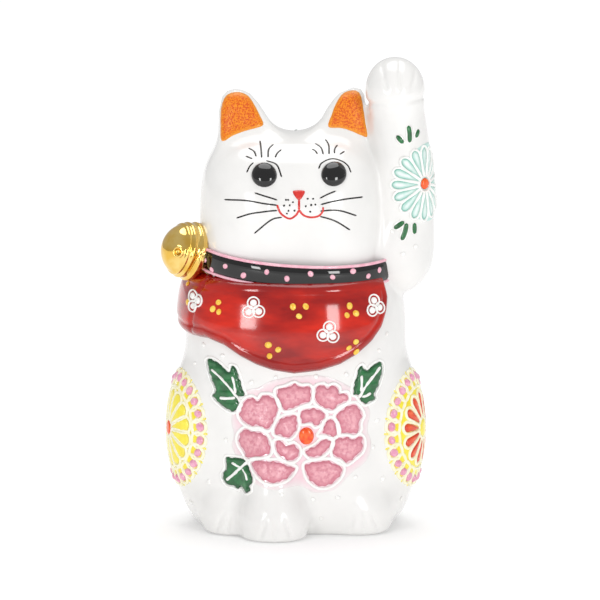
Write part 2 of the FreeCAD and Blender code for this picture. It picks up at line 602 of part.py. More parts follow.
arm_axis = (33.8, -6.3)
arm_frame = Frame((arm_axis[0], arm_axis[1], ARM_FLOWER_HEIGHT), ARM_FLOWER_TURN)
arm_low = arm_form(LOW)
arm_mid = arm_form(MID)
arm_clay = fuse([arm_solid, body])
arm_petals = petal_ring(14, 2.4, 9.0, 2.6)
arm_ground = fuse([pad(outline, arm_frame, 30) for outline in arm_petals])
save("arm_flower_petals", layer([arm_ground], arm_low, arm_clay))
save("arm_flower_centre", layer([pad(disc(1.9), arm_frame, 30)], arm_mid, arm_clay))
ARM_LEAVES = [[(-4.2, 15.6), (-2.6, 12.6)], [(0.4, 16.2), (0.6, 12.6)], [(4.4, 15.4), (3.6, 12.4)],
              [(-4.2, -15.4), (-2.8, -12.6)], [(0.4, -16.0), (0.4, -12.6)], [(4.2, -15.0), (3.4, -12.4)]]
save("arm_leaf_strokes", layer([ribbon(line, 1.3, arm_frame, 30) for line in ARM_LEAVES], arm_low, arm_clay))

# -------------------------------------------------- back of the head and body

head_flower = petal_ring(8, 2.6, 8.0, 3.6, (0, 108))
save("head_back_petals", layer([fuse([pad(outline, BACK) for outline in head_flower])], head(LOW), body))
save("head_back_centre", layer([pad(disc(2.2, (0, 108)), BACK)], head(MID), body))
HEAD_LEAF = [(0.4, 118.0), (-1.8, 120.4), (-0.2, 124.6), (2.2, 121.0)]
save("head_back_leaf", layer([pad(HEAD_LEAF, BACK)], head(LOW), body))
back_flower = petal_ring(10, 3.2, 11.5, 4.6, (-3, 46))
save("back_petals", layer([fuse([pad(outline, BACK) for outline in back_flower])], trunk(LOW), body))
save("back_centre", layer([pad(disc(2.7, (-3, 46)), BACK)], trunk(MID), body))

# ------------------------------------------------------------ scattered dots

WHITE_DOTS_FRONT = [(-22.0, 54.0), (-29.8, 53.4), (-3.4, 51.0), (6.6, 51.6), (15.6, 51.8), (-25.8, 17.0),
                    (25.6, 36.4), (25.6, 28.2), (27.2, 18.0), (18.8, 19.2), (5.4, 13.0), (13.4, 13.2)]
WHITE_DOTS_BACK = [(-22, 60), (-10, 28), (18, 30), (22, 46), (14, 60), (-20, 20), (-24, 34), (4, 24),
                   (12, 100), (-14, 98), (-12, 116), (11, 117)]
front_dots = beads(WHITE_DOTS_FRONT, 0.9, body, FRONT)
back_dots = beads(WHITE_DOTS_BACK, 0.9, body, BACK)
save("white_dots", Part.makeCompound(front_dots.Solids + back_dots.Solids))
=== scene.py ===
import itertools
import math

import bpy
import numpy as np
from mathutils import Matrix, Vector
from mathutils.bvhtree import BVHTree
from mathutils.geometry import delaunay_2d_cdt


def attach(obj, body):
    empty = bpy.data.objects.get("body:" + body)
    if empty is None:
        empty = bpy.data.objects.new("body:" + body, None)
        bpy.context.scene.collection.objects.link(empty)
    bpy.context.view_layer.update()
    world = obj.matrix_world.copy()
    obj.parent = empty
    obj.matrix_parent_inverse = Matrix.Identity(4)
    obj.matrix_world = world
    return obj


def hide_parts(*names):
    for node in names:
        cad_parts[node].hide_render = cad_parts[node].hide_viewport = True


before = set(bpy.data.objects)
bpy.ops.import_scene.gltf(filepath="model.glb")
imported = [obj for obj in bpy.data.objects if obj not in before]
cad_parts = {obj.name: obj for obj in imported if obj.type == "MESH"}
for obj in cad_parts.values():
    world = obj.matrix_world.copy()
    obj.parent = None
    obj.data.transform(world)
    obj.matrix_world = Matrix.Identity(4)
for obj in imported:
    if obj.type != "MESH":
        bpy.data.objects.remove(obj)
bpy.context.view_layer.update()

# Beckoning cat figurine in glazed pottery with raised enamel decoration.
# Shapes are worked out in millimetres in the frame of the CAD model and scaled to metres
# when a piece is made. The cat faces -Y; "left" is -X and "right" is +X, as seen in front.

MM = 0.001
GRID = 0.7      # grid step of the clay surface
BIB_GRID = 0.5
BELL_GRID = 0.3

# ------------------------------------------------------------------ clay form
# Every form is a field: negative inside, about the distance in millimetres outside.

TRUNK = np.array([(-6, 24, 20, 24), (0, 30.4, 24.2, 29.6), (3, 33.5, 26.6, 33.5), (8, 35.4, 28.8, 36),
    (16, 35.7, 30.5, 38), (28, 35.3, 31, 38.5), (42, 35.3, 31.5, 36.5), (56, 35, 31.5, 33),
    (68, 34.7, 31, 30), (76, 33.6, 29.5, 27.5), (84, 30.5, 26.5, 25), (92, 26, 22.5, 22)])
ARM = np.array([(86, 31.3, -4, 10.4), (95, 33, -5, 10.5), (105, 33.8, -6, 10.2), (118, 33.3, -7, 9.4),
    (128, 32.3, -8, 8.9), (136, 31.4, -9, 8.6), (141, 31.1, -10, 8.5)])
FORELEG = np.array([(-4, -7.1, -28, 8.6), (8, -7.1, -28.2, 9), (20, -7.1, -26.2, 9),
    (35, -7.1, -23.2, 9), (52, -7.1, -18, 8)])
TAIL = np.array([(2, 5, 33, 5.0), (10, 8, 36.5, 5.0), (18, 10.5, 37.5, 4.6), (26, 10, 37, 3.9)])
EAR_LEFT = [(-25, 124), (-24.7, 131.6), (-23.7, 136.4), (-22, 138.5), (-19.2, 139.4), (-16.6, 138.9),
    (-14.2, 137.7), (-11.4, 134.4), (-8.5, 129.9), (-4.5, 124), (-5, 112), (-24, 112)]
EAR_RIGHT = [(3.4, 124), (7.7, 129.6), (9.5, 132.8), (11.3, 135.4), (13.4, 137.8), (17.9, 139.8),
    (20.8, 139.2), (22, 137), (22.5, 131.5), (23.6, 124), (22, 112), (5, 112)]
EAR_BACK = -1.5             # depth of the middle of the ears
PAWS = [((-6.5, -29.4, 5.3), (9.9, 8.4, 8.2)), ((-19.8, -18.2, 5.2), (9.8, 9.2, 9.2)),
    ((19.8, -17.8, 5.4), (10.6, 9.4, 9.8))]
# toe grooves: paw index, x, lean of the groove
TOES = [(0, -10.6, 0.05), (0, -6.4, 0), (0, -2, -0.05), (1, -24.6, 0.06), (1, -21.4, 0.03),
    (2, 17.4, 0.03), (2, 21.4, -0.02), (2, 25.4, -0.06)]
FIST_TOES = (28.4, 32.4, 36.2)
ELBOW = ((29.9, -3.6, 88.2), (13.2, 12.2, 14.2))        # centre and half axes, as in the next ones
FIST = ((31.2, -11.0, 139.2), (8.9, 9.4, 8.9))
CHEEKS = [((-2.6, -24.6, 104.3), (5, 3.9, 4.2)), ((4.7, -24.6, 104.3), (5, 3.9, 4.2))]
HAUNCHES = [((side * 25.5, -4, 31), (15.1, 18, 29)) for side in (-1, 1)]
HEAD_CENTRE = (-0.8, 0.0, 96.0)
HEAD_FRONT, HEAD_BACK, HEAD_UP, HEAD_DOWN, HEAD_HALF = 27.0, 26.0, 28.9, 24.0, 29.5
NECK_TOP = 90.0             # the trunk ends here, inside the head
NECK_POWER = 2.3            # squareness of the trunk's plan and of the collar's
WRIST_HEIGHT = 136.6
DRAIN_RADIUS, DRAIN_Y, DRAIN_TOP = 5.0, 12.0, 14.0


def blurred(knots, spread):
    """Tables of a profile against height, rounded off between its stations."""
    heights = np.arange(knots[0, 0] - 10, knots[-1, 0] + 10, 0.25)
    reach = int(3 * spread / 0.25)
    kernel = np.exp(-0.5 * (np.arange(-reach, reach + 1) * 0.25 / spread) ** 2)
    kernel /= kernel.sum()
    tables = []
    for column in range(1, knots.shape[1]):
        values = np.interp(heights, knots[:, 0], knots[:, column])
        slopes = (knots[1, column] - knots[0, column]) / (knots[1, 0] - knots[0, 0])
        ends = (knots[-1, column] - knots[-2, column]) / (knots[-1, 0] - knots[-2, 0])
        values = values + slopes * np.minimum(heights - knots[0, 0], 0)
        values = values + ends * np.maximum(heights - knots[-1, 0], 0)
        padded = np.pad(values, reach, mode="edge")
        tables.append(np.convolve(padded, kernel, mode="valid"))
    return heights, tables


TRUNK_TABLE = blurred(TRUNK, 2.2)
ARM_TABLE = blurred(ARM, 2.5)
FORELEG_TABLE = blurred(FORELEG, 3.0)
TAIL_TABLE = blurred(TAIL, 2.0)


def look_up(table, z):
    """Every column of a table at some heights."""
    heights, columns = table
    return [np.interp(z, heights, column) for column in columns]


def smooth_min(a, b, reach):
    """Union of two fields with a fillet."""
    share = np.clip(0.5 + 0.5 * (b - a) / reach, 0, 1)
    return b + (a - b) * share - reach * share * (1 - share)


def smooth_max(a, b, reach):
    return -smooth_min(-a, -b, reach)


def ellipsoid(x, y, z, centre, size):
    """Field of an ellipsoid with these half axes."""
    dx, dy, dz = (x - centre[0]) / size[0], (y - centre[1]) / size[1], (z - centre[2]) / size[2]
    near = np.sqrt(dx * dx + dy * dy + dz * dz)
    slope = np.sqrt((dx / size[0]) ** 2 + (dy / size[1]) ** 2 + (dz / size[2]) ** 2)
    return near * (near - 1) / np.maximum(slope, 1e-4)


def trunk(x, y, z):
    half, front, back = look_up(TRUNK_TABLE, z)
    depth = np.where(y > 0, back, front)
    near = (np.abs(x / half) ** NECK_POWER + np.abs(y / depth) ** NECK_POWER) ** (1 / NECK_POWER)
    radius = np.sqrt(x * x + y * y)
    return np.maximum(radius - radius / np.maximum(near, 1e-3), z - NECK_TOP)


def head(x, y, z):
    dx, dy, dz = x - HEAD_CENTRE[0], y - HEAD_CENTRE[1], z - HEAD_CENTRE[2]
    square, power = 3.6, 2.6
    depth = np.where(dy > 0, HEAD_BACK, HEAD_FRONT)
    rise = np.where(dz > 0, HEAD_UP, HEAD_DOWN)
    face = np.abs(dx / HEAD_HALF) ** square + np.abs(dz / rise) ** square
    near = (face ** (power / square) + np.abs(dy / depth) ** power) ** (1 / power)
    radius = np.sqrt(dx * dx + dy * dy + dz * dz)
    return radius - radius / np.maximum(near, 1e-3)


def limb(x, y, z, table, bottom, top, rise, squash=1.0):
    """Round limb that follows a table of centres and radii, closed at both ends."""
    held = np.clip(z, bottom, top)
    cx, cy, radius = look_up(table, held)
    dz = (z - held) * np.where(z > top, radius / rise, 1.0)
    return np.sqrt((x - cx) ** 2 + ((y - cy) * squash) ** 2 + dz * dz) - radius


def trench(distance, width):
    """Soft groove profile, 1 in the middle."""
    return np.exp(-(distance / width) ** 2)


def arm(x, y, z):
    tube = limb(x, y, z, ARM_TABLE, ARM[0, 0], ARM[-1, 0], 8.9, 0.95)
    whole = smooth_min(smooth_min(tube, ellipsoid(x, y, z, *ELBOW), 4.0), ellipsoid(x, y, z, *FIST), 2.5)
    wrist = z - WRIST_HEIGHT - 0.12 * (x - 31)
    whole = whole + 0.55 * trench(wrist, 1.1)
    front = np.clip((-y - 12) / 4, 0, 1)
    for toe in FIST_TOES:
        side = x - toe - 0.06 * (toe - 32) * (z - 141)
        whole = whole + 0.42 * trench(side, 0.7) * front * np.clip((z - 139.5) / 2.5, 0, 1)
    return whole


def polygon_distance(x, z, corners):
    """Signed distance to a closed polygon in a plane, negative inside."""
    best = None
    inside = None
    count = len(corners)
    for k in range(count):
        ax, az = corners[k]
        bx, bz = corners[(k + 1) % count]
        ex, ez = bx - ax, bz - az
        wx, wz = x - ax, z - az
        along = np.clip((wx * ex + wz * ez) / (ex * ex + ez * ez), 0, 1)
        square = (wx - ex * along) ** 2 + (wz - ez * along) ** 2
        best = square if best is None else np.minimum(best, square)
        crosses = ((az <= z) != (bz <= z)) & (x < ex * wz / (ez if ez else 1e-9) + ax)
        inside = crosses if inside is None else inside ^ crosses
    return np.where(inside, -1.0, 1.0) * np.sqrt(best)


def ear(x, y, z, corners):
    outline = polygon_distance(x, z, corners)
    thick = np.interp(z, [112, 124, 131, 139], [9.5, 7.2, 5.6, 3.6])
    return smooth_max(outline + 0.4, np.abs(y - EAR_BACK) - thick, 5.0)


def base_form(x, y, z):
    """Head, trunk, haunches, foreleg and paws."""
    form = trunk(x, y, z)
    for haunch in HAUNCHES:
        form = smooth_min(form, ellipsoid(x, y, z, *haunch), 3.0)
    form = smooth_min(form, limb(x, y, z, FORELEG_TABLE, FORELEG[0, 0], FORELEG[-1, 0], 8.0), 3.5)
    for paw in PAWS:
        form = smooth_min(form, ellipsoid(x, y, z, *paw), 5.5)
    for index, toe, lean in TOES:
        centre, size = PAWS[index]
        front = np.clip((centre[1] - size[1] * 0.35 - y) / 3, 0, 1)
        rows = np.clip((z - 0.5) / 1.5, 0, 1) * np.clip((8.5 - z) / 3.5, 0, 1)
        form = form + 0.5 * trench(x - toe - lean * (z - 3) * 6, 0.7) * front * rows
    skull = head(x, y, z)
    for cheek in CHEEKS:
        skull = smooth_min(skull, ellipsoid(x, y, z, *cheek), 2.0)
    form = smooth_min(form, skull, 1.5)
    form = smooth_max(form, -z, 1.6)
    drain = np.maximum(np.sqrt(x ** 2 + (y - DRAIN_Y) ** 2) - DRAIN_RADIUS, z - DRAIN_TOP)
    return smooth_max(form, -drain, 0.8)


def tail(x, y, z):
    return smooth_max(limb(x, y, z, TAIL_TABLE, TAIL[0, 0], TAIL[-1, 0], 4.2), -z, 1.0)


def clay(x, y, z):
    """The whole casting, with a fillet wherever two forms meet."""
    form = smooth_min(base_form(x, y, z), arm(x, y, z), 1.8)
    for corners in (EAR_LEFT, EAR_RIGHT):
        form = smooth_min(form, ear(x, y, z, corners), 4.5)
    return np.maximum(smooth_min(form, tail(x, y, z), 1.5), -z)


def slope(field, points, step=0.2):
    """Unit gradient of a field at some points."""
    result = np.zeros_like(points)
    for axis in range(3):
        ahead, behind = points.copy(), points.copy()
        ahead[:, axis] += step
        behind[:, axis] -= step
        result[:, axis] = field(*ahead.T) - field(*behind.T)
    size = np.linalg.norm(result, axis=1, keepdims=True)
    return result / np.maximum(size, 1e-9), size[:, 0] / (2 * step)


def settle(field, points, turns=3):
    """Moves points on to the surface of a field."""
    for _ in range(turns):
        normal, steep = slope(field, points)
        move = np.clip(field(*points.T) / np.maximum(steep, 0.2), -0.6, 0.6)
        points = points - normal * move[:, None]
    return points


def window(values, moves):
    """The grid without its last layer along an axis, or without its first where the move is 1."""
    cut = [slice(None)] * 3
    for axis, move in moves.items():
        cut[axis] = slice(1, None) if move else slice(None, -1)
    return values[tuple(cut)]


def bridged(values):
    """Grid values with diagonal contacts filled in, so that no two sheets of skin share an edge."""
    inside = values < 0
    for across, up in ((0, 1), (0, 2), (1, 2)) * 2:
        a, b, c, d = [window(inside, {across: i, up: j}) for i, j in ((0, 0), (0, 1), (1, 1), (1, 0))]
        diagonal = (a == c) & (b == d) & (a != b)
        for quarter in (a, b, c, d):
            quarter |= diagonal
    return np.where(inside & (values >= 0), np.float32(-1e-3), values)


def skin(field, low, high, step):
    """Quad mesh of the surface of a field inside a box."""
    axes = [np.arange(low[k], high[k] + step, step) for k in range(3)]
    grid = np.meshgrid(*axes, indexing="ij", sparse=True)
    values = bridged(np.asarray(field(*grid), dtype=np.float32))
    sign = values < 0
    corners = list(itertools.product((0, 1), repeat=3))
    count = sum(window(sign, dict(enumerate(corner))).astype(np.int8) for corner in corners)
    active = (count > 0) & (count < 8)
    cells = np.argwhere(active)
    number = -np.ones(active.shape, dtype=np.int64)
    number[active] = np.arange(len(cells))
    total = np.zeros((len(cells), 3))
    hits = np.zeros((len(cells), 1))
    for low_end, high_end in itertools.combinations(np.array(corners), 2):
        way = high_end - low_end
        if np.abs(way).sum() != 1:
            continue
        first = values[tuple((cells + low_end).T)]
        second = values[tuple((cells + high_end).T)]
        cut = (first < 0) != (second < 0)
        share = np.where(cut, first / np.where(cut, first - second, 1), 0)[:, None]
        total += cut[:, None] * (cells + low_end + way * share)
        hits += cut[:, None]
    points = settle(field, total / hits * step + np.array([axis[0] for axis in axes]))
    faces = []
    for axis in range(3):
        other = [k for k in range(3) if k != axis]
        spots = np.argwhere(window(sign, {axis: 1}) != window(sign, {axis: 0}))
        ends = np.array(active.shape)[other]
        spots = spots[np.all((spots[:, other] > 0) & (spots[:, other] < ends), axis=1)]
        ring = []
        for du, dv in ((1, 1), (0, 1), (0, 0), (1, 0)):
            cell = spots.copy()
            cell[:, other[0]] -= du
            cell[:, other[1]] -= dv
            ring.append(number[tuple(cell.T)])
        quads = np.stack(ring, axis=1)
        outward = sign[tuple(spots.T)]
        flip = outward if axis != 1 else ~outward
        quads[~flip] = quads[~flip][:, ::-1]
        faces.append(quads)
    return points, np.concatenate(faces)


REACH = 60.0                # lines start this far outside the middle of what they are drawn on
UP = np.array([0, 0, 1.0])


class Surface:
    """A finished surface that decoration can be laid on."""

    def __init__(self, field, points, faces):
        self.field = field
        self.tree = BVHTree.FromPolygons([Vector(p) for p in points], [tuple(map(int, f)) for f in faces])

    def meet(self, starts, ways):
        """Where lines from outside first meet the surface, with the outward normals."""
        hits = np.zeros_like(starts)
        for k, (start, way) in enumerate(zip(starts, ways)):
            spot = self.tree.ray_cast(Vector(start), Vector(way))[0]
            if spot is None:
                spot = self.tree.find_nearest(Vector(start + way * REACH))[0]
            hits[k] = spot
        hits = settle(self.field, hits, 2)
        return hits, slope(self.field, hits)[0]


class Plane:
    """Flat drawing plane in front of a surface; out points away from the surface."""

    def __init__(self, surface, middle, out):
        self.surface = surface
        self.middle, self.out = np.array(middle, dtype=float), np.array(out, dtype=float)
        across = np.cross(self.out, -UP)
        self.across = across / np.linalg.norm(across)
        self.up = np.cross(self.across, -self.out)

    def drape(self, drawing):
        """Places on the surface under points of the drawing, with the outward normals."""
        drawing = np.asarray(drawing, dtype=float)
        starts = self.middle + drawing[:, :1] * self.across + drawing[:, 1:] * self.up + self.out * REACH
        return self.surface.meet(starts, np.tile(-self.out, (len(drawing), 1)))


class Wrapped:
    """Drawing plane rolled round an upright axis, for limbs and flanks; turn is in degrees towards +X."""

    def __init__(self, surface, middle, turn, radius):
        self.surface, self.radius = surface, radius
        self.middle, self.turn = np.array(middle), math.radians(turn)

    def drape(self, drawing):
        """Places on the surface under points of the drawing, with the outward normals."""
        drawing = np.asarray(drawing, dtype=float)
        angle = self.turn + drawing[:, 0] / self.radius
        out = np.stack([np.sin(angle), -np.cos(angle), np.zeros(len(angle))], axis=1)
        return self.surface.meet(self.middle + out * REACH + drawing[:, 1:] * UP, -out)


# --------------------------------------------------------------- mesh helpers


class Build:
    """Collects closed shells, with a rim value per point that shaders can read."""

    def __init__(self):
        self.points, self.faces, self.rims = [], [], []
        self.count = 0

    def add(self, points, faces, rims=None):
        self.points.append(np.asarray(points, dtype=float))
        self.faces += [tuple(int(i) + self.count for i in face) for face in faces]
        self.rims.append(np.ones(len(points)) if rims is None else np.asarray(rims, dtype=float))
        self.count += len(points)

    def piece(self, name, paint, nodes, normals=None):
        """Makes the Blender object, which stands for some CAD nodes."""
        material, slot = paint
        mesh = bpy.data.meshes.new(name)
        points = np.concatenate(self.points) * MM
        mesh.from_pydata(points.tolist(), [], self.faces)
        rim = mesh.attributes.new("rim", "FLOAT", "POINT")
        rim.data.foreach_set("value", np.concatenate(self.rims).astype(np.float32))
        mesh.polygons.foreach_set("use_smooth", [True] * len(mesh.polygons))
        mesh.materials.append(material)
        mesh.update()
        if normals is not None:
            mesh.normals_split_custom_set_from_vertices(normals.tolist())
        made = bpy.data.objects.new(name, mesh)
        bpy.context.scene.collection.objects.link(made)
        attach(made, "root")
        if nodes:
            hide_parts(*nodes)
        return made


BEAD_SIDES = 10             # points round a trailed line
SINK = 0.3                  # depth of trails and dots below the surface they sit on
PAD_SINK = 0.35             # the same for pads


def curve_points(points, closed, gap):
    """Smooth curve through a few points, sampled at an even gap."""
    knots = np.asarray(points, dtype=float)
    count = len(knots)
    if closed:
        extended = np.concatenate([knots[-1:], knots, knots[:2]])
        spans = count
    else:
        first = 2 * knots[0] - knots[1]
        last = 2 * knots[-1] - knots[-2]
        extended = np.concatenate([[first], knots, [last]])
        spans = count - 1
    samples = []
    for k in range(spans):
        p0, p1, p2, p3 = extended[k:k + 4]
        t = np.linspace(0, 1, 17)[:-1, None]
        samples.append(0.5 * (2 * p1 + (p2 - p0) * t + (2 * p0 - 5 * p1 + 4 * p2 - p3) * t ** 2
                              + (3 * p1 - p0 - 3 * p2 + p3) * t ** 3))
    line = np.concatenate(samples + [knots[:1] if closed else knots[-1:]])
    travel = np.concatenate([[0], np.cumsum(np.linalg.norm(np.diff(line, axis=0), axis=1))])
    number = max(int(round(travel[-1] / gap)), 4)
    where = np.linspace(0, travel[-1], number + 1)
    if closed:
        where = where[:-1]
    return np.stack([np.interp(where, travel, line[:, k]) for k in range(line.shape[1])], axis=1)


def ripple(u, v, scale, seed):
    """Soft repeatable unevenness between -1 and 1."""
    total = np.zeros_like(u)
    for k in range(4):
        turn = 1.7 * k + seed * 0.91
        total += np.sin((u * math.cos(turn) + v * math.sin(turn)) * scale * (1 + 0.37 * k) + seed * 2.3 + k)
    return total / 4


def crinkled(outline, amount, seed, gap=0.42):
    """Smooth closed outline with small bumps along it, as pooled enamel has."""
    rim = curve_points(outline, True, gap)
    turn = 2 * math.pi * np.arange(len(rim)) / len(rim)
    length = len(rim) * gap
    waves = sum(np.sin(turn * max(round(length / pitch), 3) + seed * (k + 1.3))
                for k, pitch in enumerate((4.2, 2.6, 1.9)))
    run = np.roll(rim, -1, axis=0) - np.roll(rim, 1, axis=0)
    out = np.stack([run[:, 1], -run[:, 0]], axis=1) / np.linalg.norm(run, axis=1, keepdims=True)
    return rim + out * (amount * waves / 1.8)[:, None]


def pillow(build, outline, sheet, height, edge=1.2, bump=0.0, seed=1.0, gap=0.42):
    """Raised enamel patch inside a closed outline, with a rounded edge."""
    rim = curve_points(outline, True, gap)
    low, high = rim.min(axis=0), rim.max(axis=0)
    us = np.arange(low[0], high[0], gap * 1.15)
    vs = np.arange(low[1], high[1], gap)
    grid_u, grid_v = np.meshgrid(us, vs, indexing="ij")
    grid_v = grid_v + 0.5 * gap * (np.arange(len(us)) % 2)[:, None]
    inner = np.stack([grid_u.ravel(), grid_v.ravel()], axis=1)
    depth = -polygon_distance(inner[:, 0], inner[:, 1], rim)
    inner = inner[depth > 0.55 * gap]
    drawing = np.concatenate([rim, inner])
    loop = [(k, (k + 1) % len(rim)) for k in range(len(rim))]
    flat, _, faces, _, _, _ = delaunay_2d_cdt([Vector(p) for p in drawing], loop, [], 1, 1e-6)
    drawing = np.array([tuple(p) for p in flat])
    faces = [tuple(face) for face in faces if len(face) >= 3]
    inside = np.maximum(-polygon_distance(drawing[:, 0], drawing[:, 1], rim), 0)
    crown = np.sqrt(np.maximum(1 - (1 - np.clip(inside / edge, 0, 1)) ** 2, 0))
    lift = height * crown
    if bump:
        lift = lift + bump * crown * ripple(drawing[:, 0], drawing[:, 1], 1.9, seed)
    spots, normals = sheet.drape(drawing)
    top = spots + normals * (lift - 0.02)[:, None]
    under = spots - normals * PAD_SINK
    count = len(drawing)
    borders = {}
    shell = []
    for face in faces:
        a, b, c = (spots[face[k]] for k in range(3))
        facing = np.dot(np.cross(b - a, c - a), normals[face[0]])
        face = face if facing > 0 else face[::-1]
        shell.append(face)
        for k in range(len(face)):
            side = (face[k], face[(k + 1) % len(face)])
            borders[side] = borders.get(side, 0) + 1
    lower = [tuple(i + count for i in face[::-1]) for face in shell]
    walls = [(b, a, a + count, b + count) for a, b in borders if (b, a) not in borders]
    rims = np.clip(inside / (1.6 * edge), 0, 1)
    build.add(np.concatenate([top, under]), shell + lower + walls, np.concatenate([rims, rims]))


def tube_faces(count, ring, closed):
    """Faces between rings of points, with a cap on each end of an open tube."""
    faces = []
    for i in range(count if closed else count - 1):
        j = (i + 1) % count
        for k in range(ring):
            n = (k + 1) % ring
            faces.append((i * ring + k, i * ring + n, j * ring + n, j * ring + k))
    if not closed:
        faces.append(tuple(range(ring))[::-1])
        faces.append(tuple((count - 1) * ring + k for k in range(ring)))
    return faces


def bead(build, points, sheet, width, height, closed=False, tip=0.5, gap=0.4, wobble=0.0, seed=1.0):
    """Trailed line of enamel, half round in section, with tapered ends."""
    drawing = curve_points(points, closed, gap)
    spots, normals = sheet.drape(drawing)
    count = len(spots)
    if closed:
        along = np.roll(spots, -1, axis=0) - np.roll(spots, 1, axis=0)
        share = np.ones(count)
    else:
        along = np.gradient(spots, axis=0)
        travel = np.concatenate([[0], np.cumsum(np.linalg.norm(np.diff(spots, axis=0), axis=1))])
        edge = np.minimum(travel, travel[-1] - travel) / max(width, 1e-3)
        share = tip + (1 - tip) * np.sqrt(1 - (1 - np.clip(edge, 0, 1)) ** 2)
        share[0] = share[-1] = 0.35 * tip
    if wobble:
        order = np.arange(count) * gap
        share = share * (1 + wobble * (np.sin(order * 1.3 + seed) + 0.6 * np.sin(order * 2.9 + 2 * seed)))
    along = along / np.maximum(np.linalg.norm(along, axis=1, keepdims=True), 1e-9)
    aside = np.cross(normals, along)
    tube = []
    for k in range(BEAD_SIDES):
        angle = 2 * math.pi * k / BEAD_SIDES
        up = math.sin(angle)
        rise = height * up if up > 0 else SINK * up
        tube.append(spots + aside * (share * width * 0.5 * math.cos(angle))[:, None]
                    + normals * (share * rise)[:, None])
    build.add(np.stack(tube, axis=1).reshape(-1, 3), tube_faces(count, BEAD_SIDES, closed))


def domes(build, places, sheet, radius, height, uneven=0.08):
    """Round dots of enamel, each a little different."""
    rings, sides = 5, 14
    for number, (spot, normal) in enumerate(zip(*sheet.drape(places))):
        aside = np.cross(normal, UP if abs(normal[2]) < 0.9 else [1.0, 0, 0])
        aside /= np.linalg.norm(aside)
        above = np.cross(aside, normal)
        size = radius * (1 + uneven * math.sin(number * 2.4 + radius))
        points = [spot - normal * SINK]
        for level in range(rings):
            tilt = 0.5 * math.pi * level / rings
            for k in range(sides):
                turn = 2 * math.pi * k / sides
                stretch = 1 + uneven * math.sin(2 * turn + number)
                flat = aside * math.cos(turn) + above * math.sin(turn)
                points.append(spot + flat * (size * stretch * math.cos(tilt))
                              + normal * (height * math.sin(tilt)))
        points.append(spot + normal * height)
        faces = [(0, 1 + (k + 1) % sides, 1 + k) for k in range(sides)]
        for level in range(rings - 1):
            for k in range(sides):
                a = 1 + level * sides + k
                b = 1 + level * sides + (k + 1) % sides
                faces.append((a, b, b + sides, a + sides))
        last = 1 + (rings - 1) * sides
        faces += [(last + k, last + (k + 1) % sides, len(points) - 1) for k in range(sides)]
        build.add(points, [face[::-1] for face in faces])


def petal(angle, inner, outer, width, tip=0.75, root=0.36, centre=(0, 0)):
    """Outline of one petal that points along an angle in degrees."""
    turn = math.radians(angle)
    length = outer - inner
    half = [(0, 0.5 * root), (0.4, 0.36), (tip, 0.5), (0.95, 0.3)]
    points = []
    for along, side in half + [(1, 0)] + [(along, -side) for along, side in reversed(half)]:
        along, side = inner + along * length, side * width
        points.append((centre[0] + along * math.cos(turn) - side * math.sin(turn),
                       centre[1] + along * math.sin(turn) + side * math.cos(turn)))
    return points


def oval(centre, across, up, count=12):
    """Outline of an ellipse with these half axes."""
    turns = [2 * math.pi * k / count for k in range(count)]
    return [(centre[0] + across * math.cos(t), centre[1] + up * math.sin(t)) for t in turns]


def grown(points, margin):
    """The same closed outline pushed outwards."""
    knots = np.asarray(points, dtype=float)
    run = np.roll(knots, -1, axis=0) - np.roll(knots, 1, axis=0)
    area = np.sum(knots[:, 0] * np.roll(knots[:, 1], -1) - np.roll(knots[:, 0], -1) * knots[:, 1])
    out = np.stack([run[:, 1], -run[:, 0]], axis=1) * np.sign(area)
    return knots + margin * out / np.linalg.norm(out, axis=1, keepdims=True)


def pad(name, paint, nodes, outline, sheet, *shape, gap=0.42):
    """A piece that is a single pillow."""
    build = Build()
    pillow(build, outline, sheet, *shape, gap=gap)
    build.piece(name, paint, nodes)


def lines(name, paint, node, drawing, width, height, tip, gap):
    """A piece of painted or trailed lines on the front."""
    build = Build()
    for line in drawing:
        bead(build, line, FRONT, width, height, tip=tip, gap=gap)
    build.piece(name, paint, [node])


def dots(name, paint, node, places, sheet, *size):
    """A piece of round dots."""
    build = Build()
    domes(build, places, sheet, *size)
    build.piece(name, paint, [node])


def flower(pools, trail, sheet, outlines, pool, rim, first=0, gap=0.42):
    """Petals with trailed rims: pool holds height, edge and bump; rim holds margin, width and height."""
    for number, outline in enumerate(outlines):
        pillow(pools, outline, sheet, *pool, number + first, gap=gap)
        bead(trail, grown(outline, rim[0]), sheet, *rim[1:], closed=True, wobble=0.05, seed=number)


# ------------------------------------------------------------------ materials


def node(tree, kind, **inputs):
    """New shader node with some input values."""
    made = tree.nodes.new(kind)
    for key, value in inputs.items():
        made.inputs[key.replace("_", " ")].default_value = value
    return made


